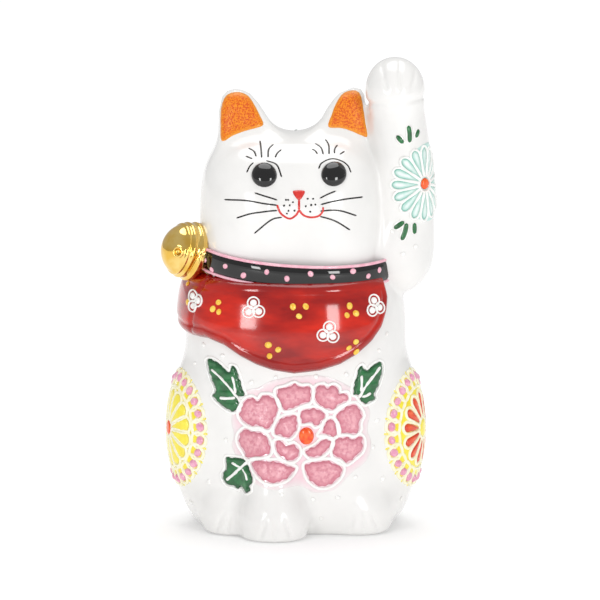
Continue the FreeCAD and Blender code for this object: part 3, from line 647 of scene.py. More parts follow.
def ceramic(name, slot, dark, light, roughness=0.08, scale=400.0, contrast=(0.35, 0.65), bump=0.0,
            bump_scale=900.0, stretch=(1, 1, 1), rim=None, metallic=0.0, coat=0.4, detail=3.0):
    """Glossy enamel or glaze that drifts between two tones and can have its own colour at a pad's rim.

    Gives the material and the record's slot that it belongs to.
    """
    material = bpy.data.materials.new(name)
    material.use_nodes = True
    tree = material.node_tree
    shader = tree.nodes["Principled BSDF"]
    shader.inputs["Roughness"].default_value = roughness
    shader.inputs["Metallic"].default_value = metallic
    shader.inputs["Coat Weight"].default_value = coat
    shader.inputs["Coat Roughness"].default_value = 0.03
    place = tree.nodes.new("ShaderNodeTexCoord")
    mapping = tree.nodes.new("ShaderNodeMapping")
    mapping.inputs["Scale"].default_value = stretch
    tree.links.new(place.outputs["Object"], mapping.inputs["Vector"])
    noise = node(tree, "ShaderNodeTexNoise", Scale=scale, Detail=detail, Roughness=0.55)
    tree.links.new(mapping.outputs["Vector"], noise.inputs["Vector"])
    ramp = tree.nodes.new("ShaderNodeValToRGB")
    for stop, position, tone in zip(ramp.color_ramp.elements, contrast, (dark, light)):
        stop.position = position
        stop.color = srgb(tone)
    tree.links.new(noise.outputs["Fac"], ramp.inputs["Fac"])
    colour = ramp.outputs["Color"]
    if rim:
        inward = tree.nodes.new("ShaderNodeAttribute")
        inward.attribute_name = "rim"
        blend = tree.nodes.new("ShaderNodeMix")
        blend.data_type = "RGBA"
        blend.inputs["A"].default_value = srgb(rim)
        tree.links.new(inward.outputs["Fac"], blend.inputs["Factor"])
        tree.links.new(colour, blend.inputs["B"])
        colour = blend.outputs["Result"]
    tree.links.new(colour, shader.inputs["Base Color"])
    if bump:
        grain = node(tree, "ShaderNodeTexNoise", Scale=bump_scale, Detail=2.0)
        tree.links.new(place.outputs["Object"], grain.inputs["Vector"])
        relief = node(tree, "ShaderNodeBump", Strength=1.0, Distance=bump * MM)
        tree.links.new(grain.outputs["Fac"], relief.inputs["Height"])
        tree.links.new(relief.outputs["Normal"], shader.inputs["Normal"])
    return material, slot


def srgb(code):
    """Opaque linear colour from a six-digit web colour."""
    channels = [int(code[k:k + 2], 16) / 255 for k in (0, 2, 4)]
    return *(c / 12.92 if c < 0.04045 else ((c + 0.055) / 1.055) ** 2.4 for c in channels), 1


GLAZE = ceramic("white_glaze", "glazed_clay", "E9E8E6", "EFEEEC", 0.17, 60.0, coat=0.15, bump=0.02,
                bump_scale=160.0)
RED = ceramic("red_overglaze", "red_enamel", "8E0403", "D42208", 0.11, 75.0, (0.36, 0.70), coat=0.15,
              stretch=(0.7, 0.7, 1.9), rim="8A090B", bump=0.05, bump_scale=120.0)
BLACK = ceramic("black_enamel", "black_enamel", "030303", "080808", 0.05, 150.0, coat=0.3)
INK = ceramic("painted_line", "black_enamel", "1A1413", "060505", 0.25, 500.0, coat=0.0)
PINK = ceramic("pink_enamel", "pink_enamel", "D28594", "E9A9B3", 0.2, 850.0, (0.36, 0.6), bump=0.2,
               bump_scale=1100.0, rim="CE7A8B", coat=0.1)
PALE_PINK = ceramic("pale_pink_enamel", "pink_enamel", "EFA9BD", "F7C6D2", 0.12, 500.0, bump=0.04)
DOT_PINK = ceramic("rose_enamel", "pink_enamel", "E08FB0", "F0B4CA", 0.10, 600.0, bump=0.05)
ORANGE = ceramic("orange_enamel", "orange_enamel", "EE3E08", "F76A1C", 0.10, 700.0, bump=0.08)
WASH_PINK = ceramic("pale_pink_wash", "pink_enamel", "EEC6D1", "F1D2DA", 0.15, 200.0, rim="ECE6E6")
WASH_MINT = ceramic("mint_wash", "mint_enamel", "8FD2C3", "C8E8E0", 0.10, 160.0, (0.3, 0.7),
                    rim="D3E9E4")
YELLOW = ceramic("yellow_enamel", "yellow_enamel", "F4DC1C", "FBEE48", 0.10, 350.0, (0.3, 0.7),
                 bump=0.06, rim="F6E765")
CREAM = ceramic("cream_enamel", "white_enamel", "F7F2C4", "FBF8E2", 0.12, 500.0, bump=0.04)
BIB_YELLOW = ceramic("amber_enamel", "yellow_enamel", "F0B428", "FAD65A", 0.10, 600.0, bump=0.05)
GREEN = ceramic("green_enamel", "green_enamel", "0C4F24", "237A40", 0.12, 380.0, (0.3, 0.7), bump=0.08,
                rim="0C4A25")
WHITE = ceramic("white_enamel", "white_enamel", "F2F1EE", "FAFAF8", 0.10, 500.0, bump=0.04)
RUST = ceramic("vermilion_enamel", "red_brown_enamel", "E23A0E", "F4642A", 0.10, 450.0, bump=0.07,
               rim="D2300C")
MINT = ceramic("mint_enamel", "mint_enamel", "D3E9E4", "EFF4F2", 0.12, 330.0, (0.30, 0.6), bump=0.05,
               rim="74C0AF")
ROSE_RED = ceramic("face_red", "red_enamel", "C9201C", "DE3A30", 0.12, 600.0)
GOLD = ceramic("gold_lustre", "gold_lustre", "E9BC55", "F7DA8C", 0.06, 130.0, metallic=1.0, coat=0.0,
               bump=0.05, bump_scale=260.0)
SPECKLE = ceramic("speckled_orange", "orange_enamel", "D64A06", "F59412", 0.3, 2200.0, (0.40, 0.60),
                  bump=0.12, bump_scale=2600.0, rim="F09A1C", detail=5.0, coat=0.0)

# ------------------------------------------------------------------- clay piece
# Head, trunk, raised arm, ears and tail are one slip casting under one glaze, so they are one piece here.

clay_points, clay_faces = skin(clay, (-46, -47, -2), (48, 45, 152), GRID)
clay_surface = Surface(clay, clay_points, clay_faces)
FRONT = Plane(clay_surface, (0, 0, 0), (0, -1, 0))
BACK = Plane(clay_surface, (0, 0, 0), (0, 1, 0))
build = Build()
build.add(clay_points, clay_faces)
build.piece("glazed_clay_form", GLAZE, ["body_shell", "raised_arm", "ear_left", "ear_right", "tail"],
            slope(clay, clay_points)[0])

# ------------------------------------------------------------------------ bib

BIB_RADIUS = 34.0           # turns an angle round the neck into millimetres
BIB_THICKNESS = 3.2
# outlines of the bib: angle from the front towards +X in degrees, height
BIB_MAIN = [(-205, 66), (-150, 65), (-120, 63.6), (-90, 62.6), (-70, 62.3), (-52, 62.5), (-40.6, 60.9),
    (-31, 57.8), (-22, 55.5), (-13, 53.9), (-1, 52.9), (13.5, 53.8), (25, 55.6), (35, 58.5), (43, 61.9),
    (49.5, 66), (54, 71), (56.5, 75.3), (57, 82), (-205, 82)]
BIB_REST = [(116, 82), (118, 73), (122, 68), (130, 65.4), (145, 64.8), (160, 65.6), (205, 66),
    (205, 82)]


def bib_edge(x, y, z):
    """Distance inside the bib's outline, measured over the clay."""
    both = []
    for corners in (BIB_MAIN, BIB_REST):
        rolled = [(math.radians(angle) * BIB_RADIUS, height) for angle, height in corners]
        both.append(-polygon_distance(np.arctan2(x, -y) * BIB_RADIUS, z, rolled))
    return np.maximum(*both)


def bib(x, y, z):
    """Moulded bib over the trunk, with a hem groove and a fold at the left shoulder."""
    inside = bib_edge(x, y, z)
    angle = np.degrees(np.arctan2(x, -y))
    body = trunk(x, y, z)
    full = BIB_THICKNESS * (1 - np.exp(-np.maximum(inside, 0) / 1.3))
    hem = -0.45 * trench(inside - 3.7, 0.75)
    fold = -0.9 * trench((angle + 60 - (z - 70) * 0.35) * 0.6, 1.0) * np.clip((z - 62) / 5, 0, 1)
    puff = 0.35 * np.sin(angle * 0.11 + 0.6) * np.clip(inside / 5, 0, 1)
    top = np.where(inside > 0, full + hem + fold + puff, inside * 1.5)
    return np.maximum(body - top, -(body + 1.6)) * 0.8


bib_points, bib_faces = skin(bib, (-41, -38, 49), (41, 35, 83.5), BIB_GRID)
bib_surface = Surface(bib, bib_points, bib_faces)
BIB_FRONT = Plane(bib_surface, (0, 0, 0), (0, -1, 0))
build = Build()
build.add(bib_points, bib_faces, np.clip(bib_edge(*bib_points.T) / 4.5, 0, 1))
build.piece("bib_cloth", RED, ["bib"], slope(bib, bib_points, 0.35)[0])

# --------------------------------------------------------------------- collar

COLLAR_MIDDLE = 83.4
COLLAR_HALF = 3.3           # half the height of the band
COLLAR_SIZE = (31.2, 28.2, 26.6)        # half width, front depth, back depth
COLLAR_STEPS = 220


def neck_ring():
    """Plan of the neck, where the collar runs."""
    turns = 2 * math.pi * np.arange(COLLAR_STEPS) / COLLAR_STEPS
    across = np.sign(np.cos(turns)) * np.abs(np.cos(turns)) ** (2 / NECK_POWER)
    along = np.sign(np.sin(turns)) * np.abs(np.sin(turns)) ** (2 / NECK_POWER)
    width, front, back = COLLAR_SIZE
    return width * across, np.where(along > 0, back, front) * along


def collar_height(x, y):
    """The collar sits higher at the back, and a little higher on the bell's side."""
    return COLLAR_MIDDLE - 0.4 - 0.062 * x + 0.07 * (y + 28.0) + 0.0012 * x * x


def swept_ring(build, profile):
    """Sweeps a section of (outward, upward) offsets round the neck."""
    base_x, base_y = neck_ring()
    length = np.hypot(base_x, base_y)
    rings = [np.stack([base_x * (1 + out / length), base_y * (1 + out / length),
                       collar_height(base_x, base_y) + up], axis=1) for out, up in profile]
    points = np.stack(rings, axis=1).reshape(-1, 3)
    faces = [face[::-1] for face in tube_faces(COLLAR_STEPS, len(profile), True)]
    build.add(points, faces)
    return points, faces


def squared(part):
    """Pushes a sine or cosine outwards, for a section with fuller corners."""
    return math.copysign(abs(part) ** 0.55, part)


band = []
for angle in np.linspace(0, 2 * math.pi, 28, endpoint=False):
    band.append((-0.4 + 1.7 * squared(math.cos(angle)), COLLAR_HALF * squared(math.sin(angle))))
build = Build()
collar_points, collar_faces = swept_ring(build, band)
build.piece("collar_band", BLACK, ["collar"])


class FacetedSurface:
    """A mesh as a surface for dots, with the normals of its faces."""

    def __init__(self, points, faces):
        self.tree = BVHTree.FromPolygons([Vector(p) for p in points], faces)

    def meet(self, starts, ways):
        hits, normals = [], []
        for start, way in zip(starts, ways):
            spot, normal, _, _ = self.tree.ray_cast(Vector(start), Vector(way))
            hits.append(spot)
            normals.append(normal if normal.dot(Vector(way)) < 0 else -normal)
        return np.array(hits), np.array(normals)


for name, level in (("collar_edging_lower", -1), ("collar_edging_upper", 1)):
    section = []
    for angle in np.linspace(0, 2 * math.pi, 12, endpoint=False):
        section.append((0.75 + 0.5 * math.cos(angle), level * (COLLAR_HALF + 0.1) + 0.5 * math.sin(angle)))
    build = Build()
    swept_ring(build, section)
    build.piece(name + "_bead", PALE_PINK, [name])

COLLAR_DOTS = [(-28.6, 86.6), (-26.4, 83.9), (-22.1, 85.6), (-16.4, 83.2), (-9.1, 84.6), (-2.8, 82.6),
    (4.6, 84.1), (11.5, 82.9), (17.9, 84.4), (22.7, 82.4), (26.2, 83.8)]
collar_front = Plane(FacetedSurface(collar_points, collar_faces), (0, 0, 0), (0, -1, 0))
dots("collar_rose_dots", PALE_PINK, "collar_dots", COLLAR_DOTS, collar_front, 0.92, 0.5)

# ----------------------------------------------------------------------- bell

BELL_CENTRE = np.array([-33.9, -9.2, 88.4])
BELL_RADIUS = 8.7
BELL_RIBS = ((3.6, 7.75, 0.5), (1.9, 8.35, 0.55))       # place along the axis, radius, thickness


def unit(*way):
    """The same direction with length 1."""
    return np.array(way) / np.linalg.norm(way)


BELL_AXIS = unit(-0.88, -0.40, 0.25)
BOSS_WAY = unit(-0.36, -0.92, 0.10)
SLIT_WAY = unit(0.22, -0.86, -0.46)


def bell(x, y, z):
    """Round bell with ribs, a flared rim, a neck, a boss with a pit and a slit."""
    dx, dy, dz = x - BELL_CENTRE[0], y - BELL_CENTRE[1], z - BELL_CENTRE[2]
    along = dx * BELL_AXIS[0] + dy * BELL_AXIS[1] + dz * BELL_AXIS[2]
    square = dx * dx + dy * dy + dz * dz
    across = np.sqrt(np.maximum(square - along * along, 0))
    form = np.sqrt(square) - BELL_RADIUS
    for at, radius, size in BELL_RIBS:
        form = smooth_min(form, np.sqrt((across - radius) ** 2 + (along - at) ** 2) - size, 0.5)
    flare = np.maximum(across - 8.9, np.abs(along + 1.3) - 0.35) - 0.4
    form = smooth_min(form, flare, 1.2)
    neck = np.maximum(across - 7.6, np.abs(along + 5.0) - 4.0)
    form = smooth_min(form, neck, 0.8)
    front = dx * BOSS_WAY[0] + dy * BOSS_WAY[1] + dz * BOSS_WAY[2]
    aside = np.sqrt(np.maximum(square - front * front, 0))
    boss = np.sqrt((aside - 1.45) ** 2 + (front - 8.55) ** 2) - 0.5
    form = smooth_min(form, boss, 0.4)
    pit = np.sqrt(aside ** 2 + (front - 9.0) ** 2) - 1.0
    form = smooth_max(form, -pit, 0.3)
    slit = dx * SLIT_WAY[0] + dy * SLIT_WAY[1] + dz * SLIT_WAY[2]
    lean = np.abs(dx * 0.80 - dz * 0.45 - dy * 0.05 - 2.9)
    groove = np.maximum(lean - 0.32, 7.6 - slit)
    return smooth_max(form, -groove, 0.3)


bell_points, bell_faces = skin(bell, BELL_CENTRE - 13, BELL_CENTRE + 13, BELL_GRID)
build = Build()
build.add(bell_points, bell_faces)
build.piece("bell_gold", GOLD, ["bell"], slope(bell, bell_points)[0])

# ----------------------------------------------------------------------- face

EYES = {"eye_left": (-9.9, 114.4), "eye_right": (11.9, 114.6)}
for name, spot in EYES.items():
    pad(name + "_gloss", BLACK, [name], oval(spot, 4.0, 3.6), FRONT, 2.0, 3.9, gap=0.3)

NOSE = [(-0.9, 109.7), (1, 110), (2.8, 109.7), (2.4, 108.4), (1, 107), (-0.5, 108.4)]
pad("nose_red", ROSE_RED, ["nose"], NOSE, FRONT, 0.55, 0.9, gap=0.25)
MOUTH = [[(1, 107.2), (1, 105.4), (1, 104)], [(1, 104.1), (0.1, 102.5), (-1.7, 101.3), (-3.5, 102),
        (-4.9, 103.3), (-5.9, 105.7)], [(1, 104.1), (2.3, 102.5), (4.1, 101.8), (5.9, 101.8),
        (7.4, 102.3), (8.4, 103.6), (8.5, 105)]]
lines("mouth_red_line", ROSE_RED, "mouth_line", MOUTH, 0.75, 0.14, 0.5, 0.3)
WHISKERS = [[(-5.7, 107), (-10, 108.2), (-13, 109.1)], [(-5.7, 105.5), (-9.1, 105.7), (-15.8, 106.6),
        (-22.5, 106.4)], [(-5.7, 103.9), (-10.4, 103.2), (-14.3, 102.5), (-18.7, 100.9)],
    [(-4.2, 101.8), (-7.8, 100.7), (-13.1, 96.3)], [(7.4, 107.5), (10.3, 108.8), (12.6, 109.6)],
    [(7.7, 105.7), (15, 106.9), (21.1, 107.2)], [(7.5, 103.7), (13.5, 103.5), (19.1, 101.5)],
    [(7.4, 102), (12.4, 100.2), (17.1, 97.1)]]
lines("whisker_lines", INK, "whiskers", WHISKERS, 0.5, 0.1, 0.25, 0.5)
BROWS = [[(-13.6, 119), (-15.8, 119.7)], [(-12.4, 119.6), (-13.1, 121), (-14.9, 121.8)],
    [(-10.7, 119.3), (-10.9, 121.6), (-11.3, 123.8)], [(-8.7, 119.4), (-8.5, 121.6), (-7, 122.9)],
    [(-6.5, 119.4), (-5.8, 120.6), (-4.5, 121.6)], [(6.8, 120.3), (6.1, 121.2), (5, 121.7)],
    [(8.6, 120.2), (7.9, 122), (6, 123.1)], [(10.4, 120.2), (10.3, 122.6), (9.2, 124.1)],
    [(12.1, 120.4), (12.2, 121.6), (13.1, 122.6)], [(13.7, 120.1), (15.3, 120.9)]]
lines("brow_lines", INK, "brow_strokes", BROWS, 0.55, 0.1, 0.25, 0.3)
LIDS = [[(-13.2, 118), (-14.4, 116.9), (-15.4, 115)], [(-9.3, 118.6), (-6, 117.4), (-4.4, 113.8)],
    [(7.1, 116.2), (8.1, 117.9), (11, 119), (13.9, 118.5), (16.2, 117), (17.3, 114.8)]]
lines("eyelid_painted_lines", INK, "eyelid_lines", LIDS, 0.5, 0.1, 0.3, 0.3)
MUZZLE_DOTS = [(-3.1, 107.2), (-2.4, 107.2), (-0.9, 106.5), (-3.7, 105.5), (-1.9, 105.6), (-2.3, 103.9),
    (-0.4, 103.9), (-2.8, 103), (3.7, 107.5), (5.4, 107.5), (3.1, 105.3), (4.8, 105.7), (6.1, 105.8),
    (4.5, 103.6)]
dots("muzzle_ink_dots", INK, "muzzle_dots", MUZZLE_DOTS, FRONT, 0.34, 0.12)

EAR_PATCH_LEFT = [(-23.3, 123.2), (-23.8, 128), (-23.6, 133), (-22.4, 136.4), (-20.3, 137.9),
    (-17.4, 138), (-14.9, 136.8), (-13, 134.2), (-11.2, 130.8), (-10.2, 128.2), (-12.6, 127.2),
    (-16, 126.3), (-19.6, 125)]
EAR_PATCH_RIGHT = [(10.2, 127.6), (11.2, 131.2), (12.6, 134.6), (14.6, 137.4), (17.6, 138.6),
    (19.6, 138.2), (20.7, 136.4), (21.3, 133), (21.9, 129), (22.5, 124.6), (20.4, 125), (17.6, 126.2),
    (14.2, 127.2)]
for name, outline in (("ear_enamel_left", EAR_PATCH_LEFT), ("ear_enamel_right", EAR_PATCH_RIGHT)):
    pad(name + "_sponged", SPECKLE, [name], outline, FRONT, 0.3, 0.7, 0.04, 2.0)

# -------------------------------------------------------------- bib ornaments

# blossoms: middle seen from the front, angle of the first lobe in degrees
BLOSSOMS = [((-31.6, 73.9), 10), ((-13.2, 73.4), 95), ((10.2, 66.1), 80), ((25, 73.4), 100)]
LOBE_SPREAD = 1.85
lobes, rings = Build(), Build()
for middle, start in BLOSSOMS:
    points, normals = BIB_FRONT.drape([middle])
    patch = Plane(bib_surface, points[0], normals[0])
    for k in range(3):
        angle = math.radians(start + 120 * k)
        spot = (LOBE_SPREAD * math.cos(angle), LOBE_SPREAD * math.sin(angle))
        pillow(lobes, oval(spot, 1.15, 1.1), patch, 0.55, 0.9, gap=0.25)
        bead(rings, oval(spot, LOBE_SPREAD, 1.8), patch, 0.55, 0.5, closed=True, gap=0.3)
lobes.piece("bib_blossom_pads", WHITE, ["bib_blossom_lobes"])
rings.piece("bib_blossom_outlines", WHITE, ["bib_blossoms"])
YELLOW_TRIOS = [(-34, 73), (-34, 78), (-24.2, 74.7), (-26, 72.5), (-24.1, 71.8), (-0.9, 74.3),
    (3.1, 74.4), (1, 71.4), (-8.6, 62.3), (-5.5, 60.9), (-8.2, 58.8), (16.8, 74.1), (16, 71.3),
    (18.8, 71.7), (18.8, 62.8), (16.6, 61), (18.9, 59.6)]
dots("bib_amber_dots", BIB_YELLOW, "bib_yellow_dots", YELLOW_TRIOS, BIB_FRONT, 1.02, 0.6)

# ---------------------------------------------------------------------- peony

PEONY_PETALS = [
    [(-17.5, 40), (-15.8, 43.9), (-13.8, 44.9), (-11.8, 44.1), (-10.3, 45.7), (-7.6, 45.5),
        (-5.7, 42.8), (-6.2, 40), (-8.6, 35.5), (-11.4, 36.4), (-13.8, 36.2), (-16.5, 37.5)],
    [(-5.9, 47.4), (-2.9, 48.5), (-0.4, 49.6), (1.4, 48.7), (4.1, 48.7), (4.8, 46.3), (4.1, 44.1),
        (1.4, 43.2), (-1.6, 41.8), (-4, 41.9)],
    [(6.4, 48.3), (8.4, 49.1), (9.9, 48.3), (11.7, 48.9), (13.1, 48), (13.6, 46.2), (15.8, 46.1),
        (16.2, 44.3), (13.3, 42.8), (11, 41.3), (6.5, 43.9)],
    [(12.7, 39.2), (15.5, 41.7), (18.3, 42.5), (19.7, 41.1), (20.7, 38.9), (19.8, 36.7), (19.8, 34.5),
        (18.5, 33.2), (16, 33.7), (14, 33.8), (13.6, 36.7)],
    [(12.8, 31.8), (16, 32.2), (17.9, 31.4), (20.1, 32.2), (20.9, 31), (20.7, 27.9), (18.8, 26),
        (16, 24), (14.4, 25.5), (12, 26.6), (11.8, 29.3)],
    [(3, 23.8), (6.5, 24.6), (10.1, 24.9), (12.8, 23.5), (14.5, 22.4), (13.6, 19.7), (10.6, 17.2),
        (7.4, 16.8), (4.7, 18.6), (3.3, 21.1)],
    [(-13.7, 24.9), (-10.5, 25.6), (-8.4, 25.3), (-5.7, 25.3), (-2.4, 23.8), (-0.4, 23), (-1.9, 20.8),
        (-4.6, 19.3), (-7.8, 18.9), (-10.8, 20.1), (-12.7, 22.2)],
    [(-17.6, 32.9), (-15.7, 34.9), (-13.5, 34.2), (-11.1, 34.2), (-9.2, 32.9), (-8.1, 30.1),
        (-8.5, 27.8), (-11.6, 26.8), (-15.1, 26), (-16.2, 27.9), (-17.7, 30.4)],
    [(-6.5, 34.2), (-5.7, 37.3), (-3.5, 39.1), (-0.2, 39.5), (0.4, 37.3), (-0.2, 34.5), (-2.1, 32.7),
        (-4.6, 33.4)],
    [(1.8, 40.8), (4.7, 41.7), (7.4, 41.3), (9.1, 39.5), (7.9, 37.5), (6, 36.3), (4.7, 37.5),
        (1.9, 37.3)],
    [(7.2, 33.4), (8.7, 35.1), (9.5, 37.5), (11.2, 38.2), (12.5, 36.4), (12.9, 33.7), (11.4, 32.5),
        (9.3, 33.7)],
    [(3, 28.2), (6, 29.7), (8.4, 31.6), (10.9, 31.5), (11, 30.1), (9.3, 27.9), (6.8, 26.4),
        (4.1, 26.6)],
    [(-6.3, 31.5), (-4.4, 31.6), (-2.9, 30.1), (-0.8, 30.4), (0.7, 29), (0.7, 26.8), (-1, 25.5),
        (-3.2, 26.1), (-5.7, 28.2)]]
PEONY_HALO = [(-20.5, 38), (-18.5, 46), (-12, 48.5), (-7, 51), (1, 52.4), (9, 52.2), (15.5, 49.5),
    (20.5, 46), (23.5, 40), (22.8, 34), (24, 29.5), (22.4, 24), (17.6, 20.4), (12.5, 15.6), (6, 14.4),
    (0.6, 17), (-7.5, 16.4), (-14.5, 18.8), (-17.5, 23.5), (-20.2, 28.5), (-19.8, 33)]
pad("peony_pale_wash", WASH_PINK, [], PEONY_HALO, FRONT, 0.08, 1.9, gap=0.7)
petals, trails = Build(), Build()
for number, outline in enumerate(PEONY_PETALS):
    pillow(petals, crinkled(outline, 0.2, number), FRONT, 0.75, 1.2, 0.16, number + 1.0)
    bead(trails, grown(outline, 0.75), FRONT, 1.15, 0.6, closed=True, wobble=0.05, seed=number)
petals.piece("peony_petal_pools", PINK, ["peony_petals"])
trails.piece("peony_white_trails", WHITE, ["peony_outline"])
pad("peony_heart", ORANGE, ["peony_centre"], oval((3.3, 33.0), 2.4, 2.85), FRONT, 1.0, 1.3, 0.12, 3.0)

# --------------------------------------------------------------------- leaves

LEAVES = {
    "leaf_left_upper": [(-27.9, 55.4), (-26.4, 56), (-24.3, 55.1), (-20.9, 52.6), (-20.3, 54.6),
        (-19, 54.2), (-17.6, 50.6), (-16.8, 47.7), (-16, 45.6), (-18.4, 44.6), (-17.4, 42.4),
        (-18.4, 40.8), (-20.3, 40.2), (-23.2, 41.7), (-26, 44.3), (-25.2, 46.6), (-26.8, 50.4)],
    "leaf_right_upper": [(26.1, 55.2), (27.2, 53.9), (26.9, 51.3), (26.3, 49), (25.4, 46.7),
        (24.6, 45.2), (25, 43.8), (23.8, 43.1), (21.7, 42.4), (20.2, 43.8), (19.1, 45.5), (18, 45.8),
        (18.3, 48.9), (19.1, 51.5), (19.7, 53.9), (20.8, 54.6), (22.2, 52.9), (24, 54.3)],
    "leaf_left_lower": [(-22, 24.3), (-21.6, 25.3), (-18.3, 25.4), (-15.7, 25.2), (-15.4, 24),
        (-14.4, 22.4), (-13.5, 19.4), (-14.3, 17.3), (-14.4, 15.8), (-15.8, 14.8), (-16.9, 16.2),
        (-18.1, 15.6), (-19.6, 16.2), (-21.5, 16.6), (-22.8, 18.1), (-23, 19.8), (-21.9, 21.6)]}
# each vein: width, then its points
VEINS = [(1.05, [(-26.4, 53), (-23.7, 50.9), (-20.8, 48), (-19, 45.8), (-17.2, 43.8)]),
    (1.1, [(-19.8, 51.6), (-19.1, 48.9), (-18.7, 45.8)]),
    (1.2, [(-23.9, 44.1), (-21.6, 44.2), (-18.6, 44.7)]),
    (1.3, [(26.4, 53.8), (23.2, 50), (21.2, 47.5), (19.6, 44.4)]),
    (1.2, [(20.4, 51.9), (20.4, 48.9), (20.2, 46.2)]), (1.2, [(23.5, 45.8), (21.7, 45), (20.2, 44.8)]),
    (1.25, [(-21.8, 17.9), (-19.6, 19.9), (-17.5, 22), (-14.7, 24.9)]),
    (1, [(-20.2, 23.9), (-18.3, 23), (-16.8, 22.4)]),
    (1, [(-14.9, 18.6), (-15.4, 20.7), (-16.6, 22.4)])]
trails = Build()
for name, outline in LEAVES.items():
    pad(name + "_pool", GREEN, [name], crinkled(outline, 0.14, len(outline)), FRONT, 0.6, 0.7, 0.14, 5.0)
    bead(trails, grown(outline, 0.55), FRONT, 0.95, 0.35, closed=True, wobble=0.08)
for width, line in VEINS:
    bead(trails, line, FRONT, width, 0.92, tip=0.35, wobble=0.06)
trails.piece("leaf_white_trails", WHITE, ["leaf_veins"])

# --------------------------------------------------------------- hip roundels

SCALLOPS = 24
ROUNDEL_RADIUS = 18.2
CELL_RING = 16.0            # radius of the ring of scallops
TOOTH_TURN = 0.03           # half the width of a tooth at its foot, in radians


def polar(radius, turn):
    return radius * math.cos(turn), radius * math.sin(turn)


def roundel(name, side, count, inner, outer, width, root, petal_paint, heart_paint):
    """Medallion on a hip: outlined petals and a ring of pink beads in yellow scallops."""
    sheet = Wrapped(clay_surface, (side * 11.0, -4.0, 32.0), side * 79.0, 29.5)
    field, trail, pools, beads = Build(), Build(), Build(), Build()
    rim = [polar(ROUNDEL_RADIUS, turn) for turn in np.linspace(0, 2 * math.pi, 60, endpoint=False)]
    pillow(field, rim, sheet, 0.22, 0.8, gap=0.55)
    outlines = [petal(90 + 360 * k / count, inner, outer, width, 0.8, root) for k in range(count)]
    flower(pools, trail, sheet, outlines, (0.68, 0.7, 0.05), (0.45, 1.15, 0.7), 1, 0.38)
    spots = []
    for k in range(SCALLOPS):
        angle = 360 * (k + 0.5) / SCALLOPS
        spots.append(polar(CELL_RING + 0.2, math.radians(angle)))
        cell = petal(angle, CELL_RING - 2.7, CELL_RING + 2.3, 3.9, 0.6, 0.9)
        bead(trail, cell, sheet, 1.2, 0.62, closed=True, wobble=0.05, seed=k)
        between = math.radians(angle + 180 / SCALLOPS)
        foot = [polar(ROUNDEL_RADIUS + 0.1, between + turn) for turn in (-TOOTH_TURN, TOOTH_TURN)]
        pillow(field, foot + [polar(ROUNDEL_RADIUS + 1.0, between)], sheet, 0.25, 0.4, gap=0.35)
    domes(beads, spots, sheet, 1.38, 1.2)
    trail.piece(name + "_cream_trails", CREAM, [name + "_outline"])
    field.piece(name + "_yellow_ground", YELLOW, [name + "_field"])
    pools.piece(name + "_petal_pools", petal_paint, [name + "_petals"])
    beads.piece(name + "_rose_beads", DOT_PINK, [name + "_dots"])
    pad(name + "_heart", heart_paint, [name + "_centre"], oval((0, 0), inner - 0.8, inner - 0.8), sheet,
        0.9, 1.4, 0.08, 2.0)


roundel("roundel_left", -1, 14, 3.3, 12.2, 4.4, 0.18, YELLOW, ORANGE)
roundel("roundel_right", 1, 13, 3.8, 11.3, 2.9, 0.25, RUST, YELLOW)

# ----------------------------------------------------------------- arm flower

ARM_LEAVES = [[(-9.8, 15.7), (-7.8, 13.2)], [(-6.3, 18.8), (-5.9, 16.4), (-5.8, 13.4)], [(-2.4, 17.4),
        (-3.6, 14.8)], [(-7.5, -11.6), (-8.8, -12.6), (-10.8, -13.9)], [(-6.6, -12.2), (-7.2, -15),
        (-8.3, -17.6)], [(-3.9, -12.2), (-3.7, -15.8)]]
arm_sheet = Wrapped(clay_surface, (33.8, -6.3, 110.4), 41.5, 10.6)
pools, trail, strokes = Build(), Build(), Build()
outlines = [petal(90 + 22.5 * k, 3.0, 11.5, 2.7, 0.78, 0.2) for k in range(16)]
flower(pools, trail, arm_sheet, outlines, (0.3, 0.7, 0.04), (0.35, 0.85, 0.6), gap=0.4)
for line in ARM_LEAVES:
    bead(strokes, line, arm_sheet, 1.7, 0.6, tip=0.45)
    bead(trail, line, arm_sheet, 2.6, 0.25, tip=0.7)
pad("arm_flower_mint_wash", WASH_MINT, [], oval((2.6, 0.3), 12.2, 12.6, 24), arm_sheet, 0.08, 0.7, gap=0.6)
pools.piece("arm_flower_mint_pools", MINT, ["arm_flower_petals"])
trail.piece("arm_flower_white_trails", WHITE, [])
pad("arm_flower_heart", ORANGE, ["arm_flower_centre"], oval((0, 0), 1.9, 1.9), arm_sheet,
    0.8, 1.2, 0.06, 2.0)
strokes.piece("arm_leaf_dashes", GREEN, ["arm_leaf_strokes"])

# ----------------------------------------------------------------------- back


def daisy(name, centre, count, inner, outer, width):
    """White-rimmed mint flower on the back."""
    pools, trail = Build(), Build()
    outlines = [petal(90 + 360 * k / count, inner, outer, width, 0.75, 0.3, centre) for k in range(count)]
    flower(pools, trail, BACK, outlines, (0.4, 0.8, 0.05), (0.4, 0.8, 0.5))
    pools.piece(name + "_mint_pools", MINT, [name + "_petals"])
    trail.piece(name + "_white_trails", WHITE, [])
    pad(name + "_heart", ORANGE, [name + "_centre"], oval(centre, inner - 0.8, inner - 0.8), BACK,
        0.8, 1.2, 0.06, 2.0)


daisy("head_back", (0, 108), 8, 2.8, 8.0, 4.2)
daisy("back", (-3, 46), 10, 3.4, 11.5, 5.0)
HEAD_LEAF = [(0.4, 118.0), (-1.8, 120.4), (-0.2, 124.6), (2.2, 121.0)]
pad("head_back_leaf_pool", GREEN, ["head_back_leaf"], HEAD_LEAF, BACK, 0.5, 0.8)

# ----------------------------------------------------------------- white dots

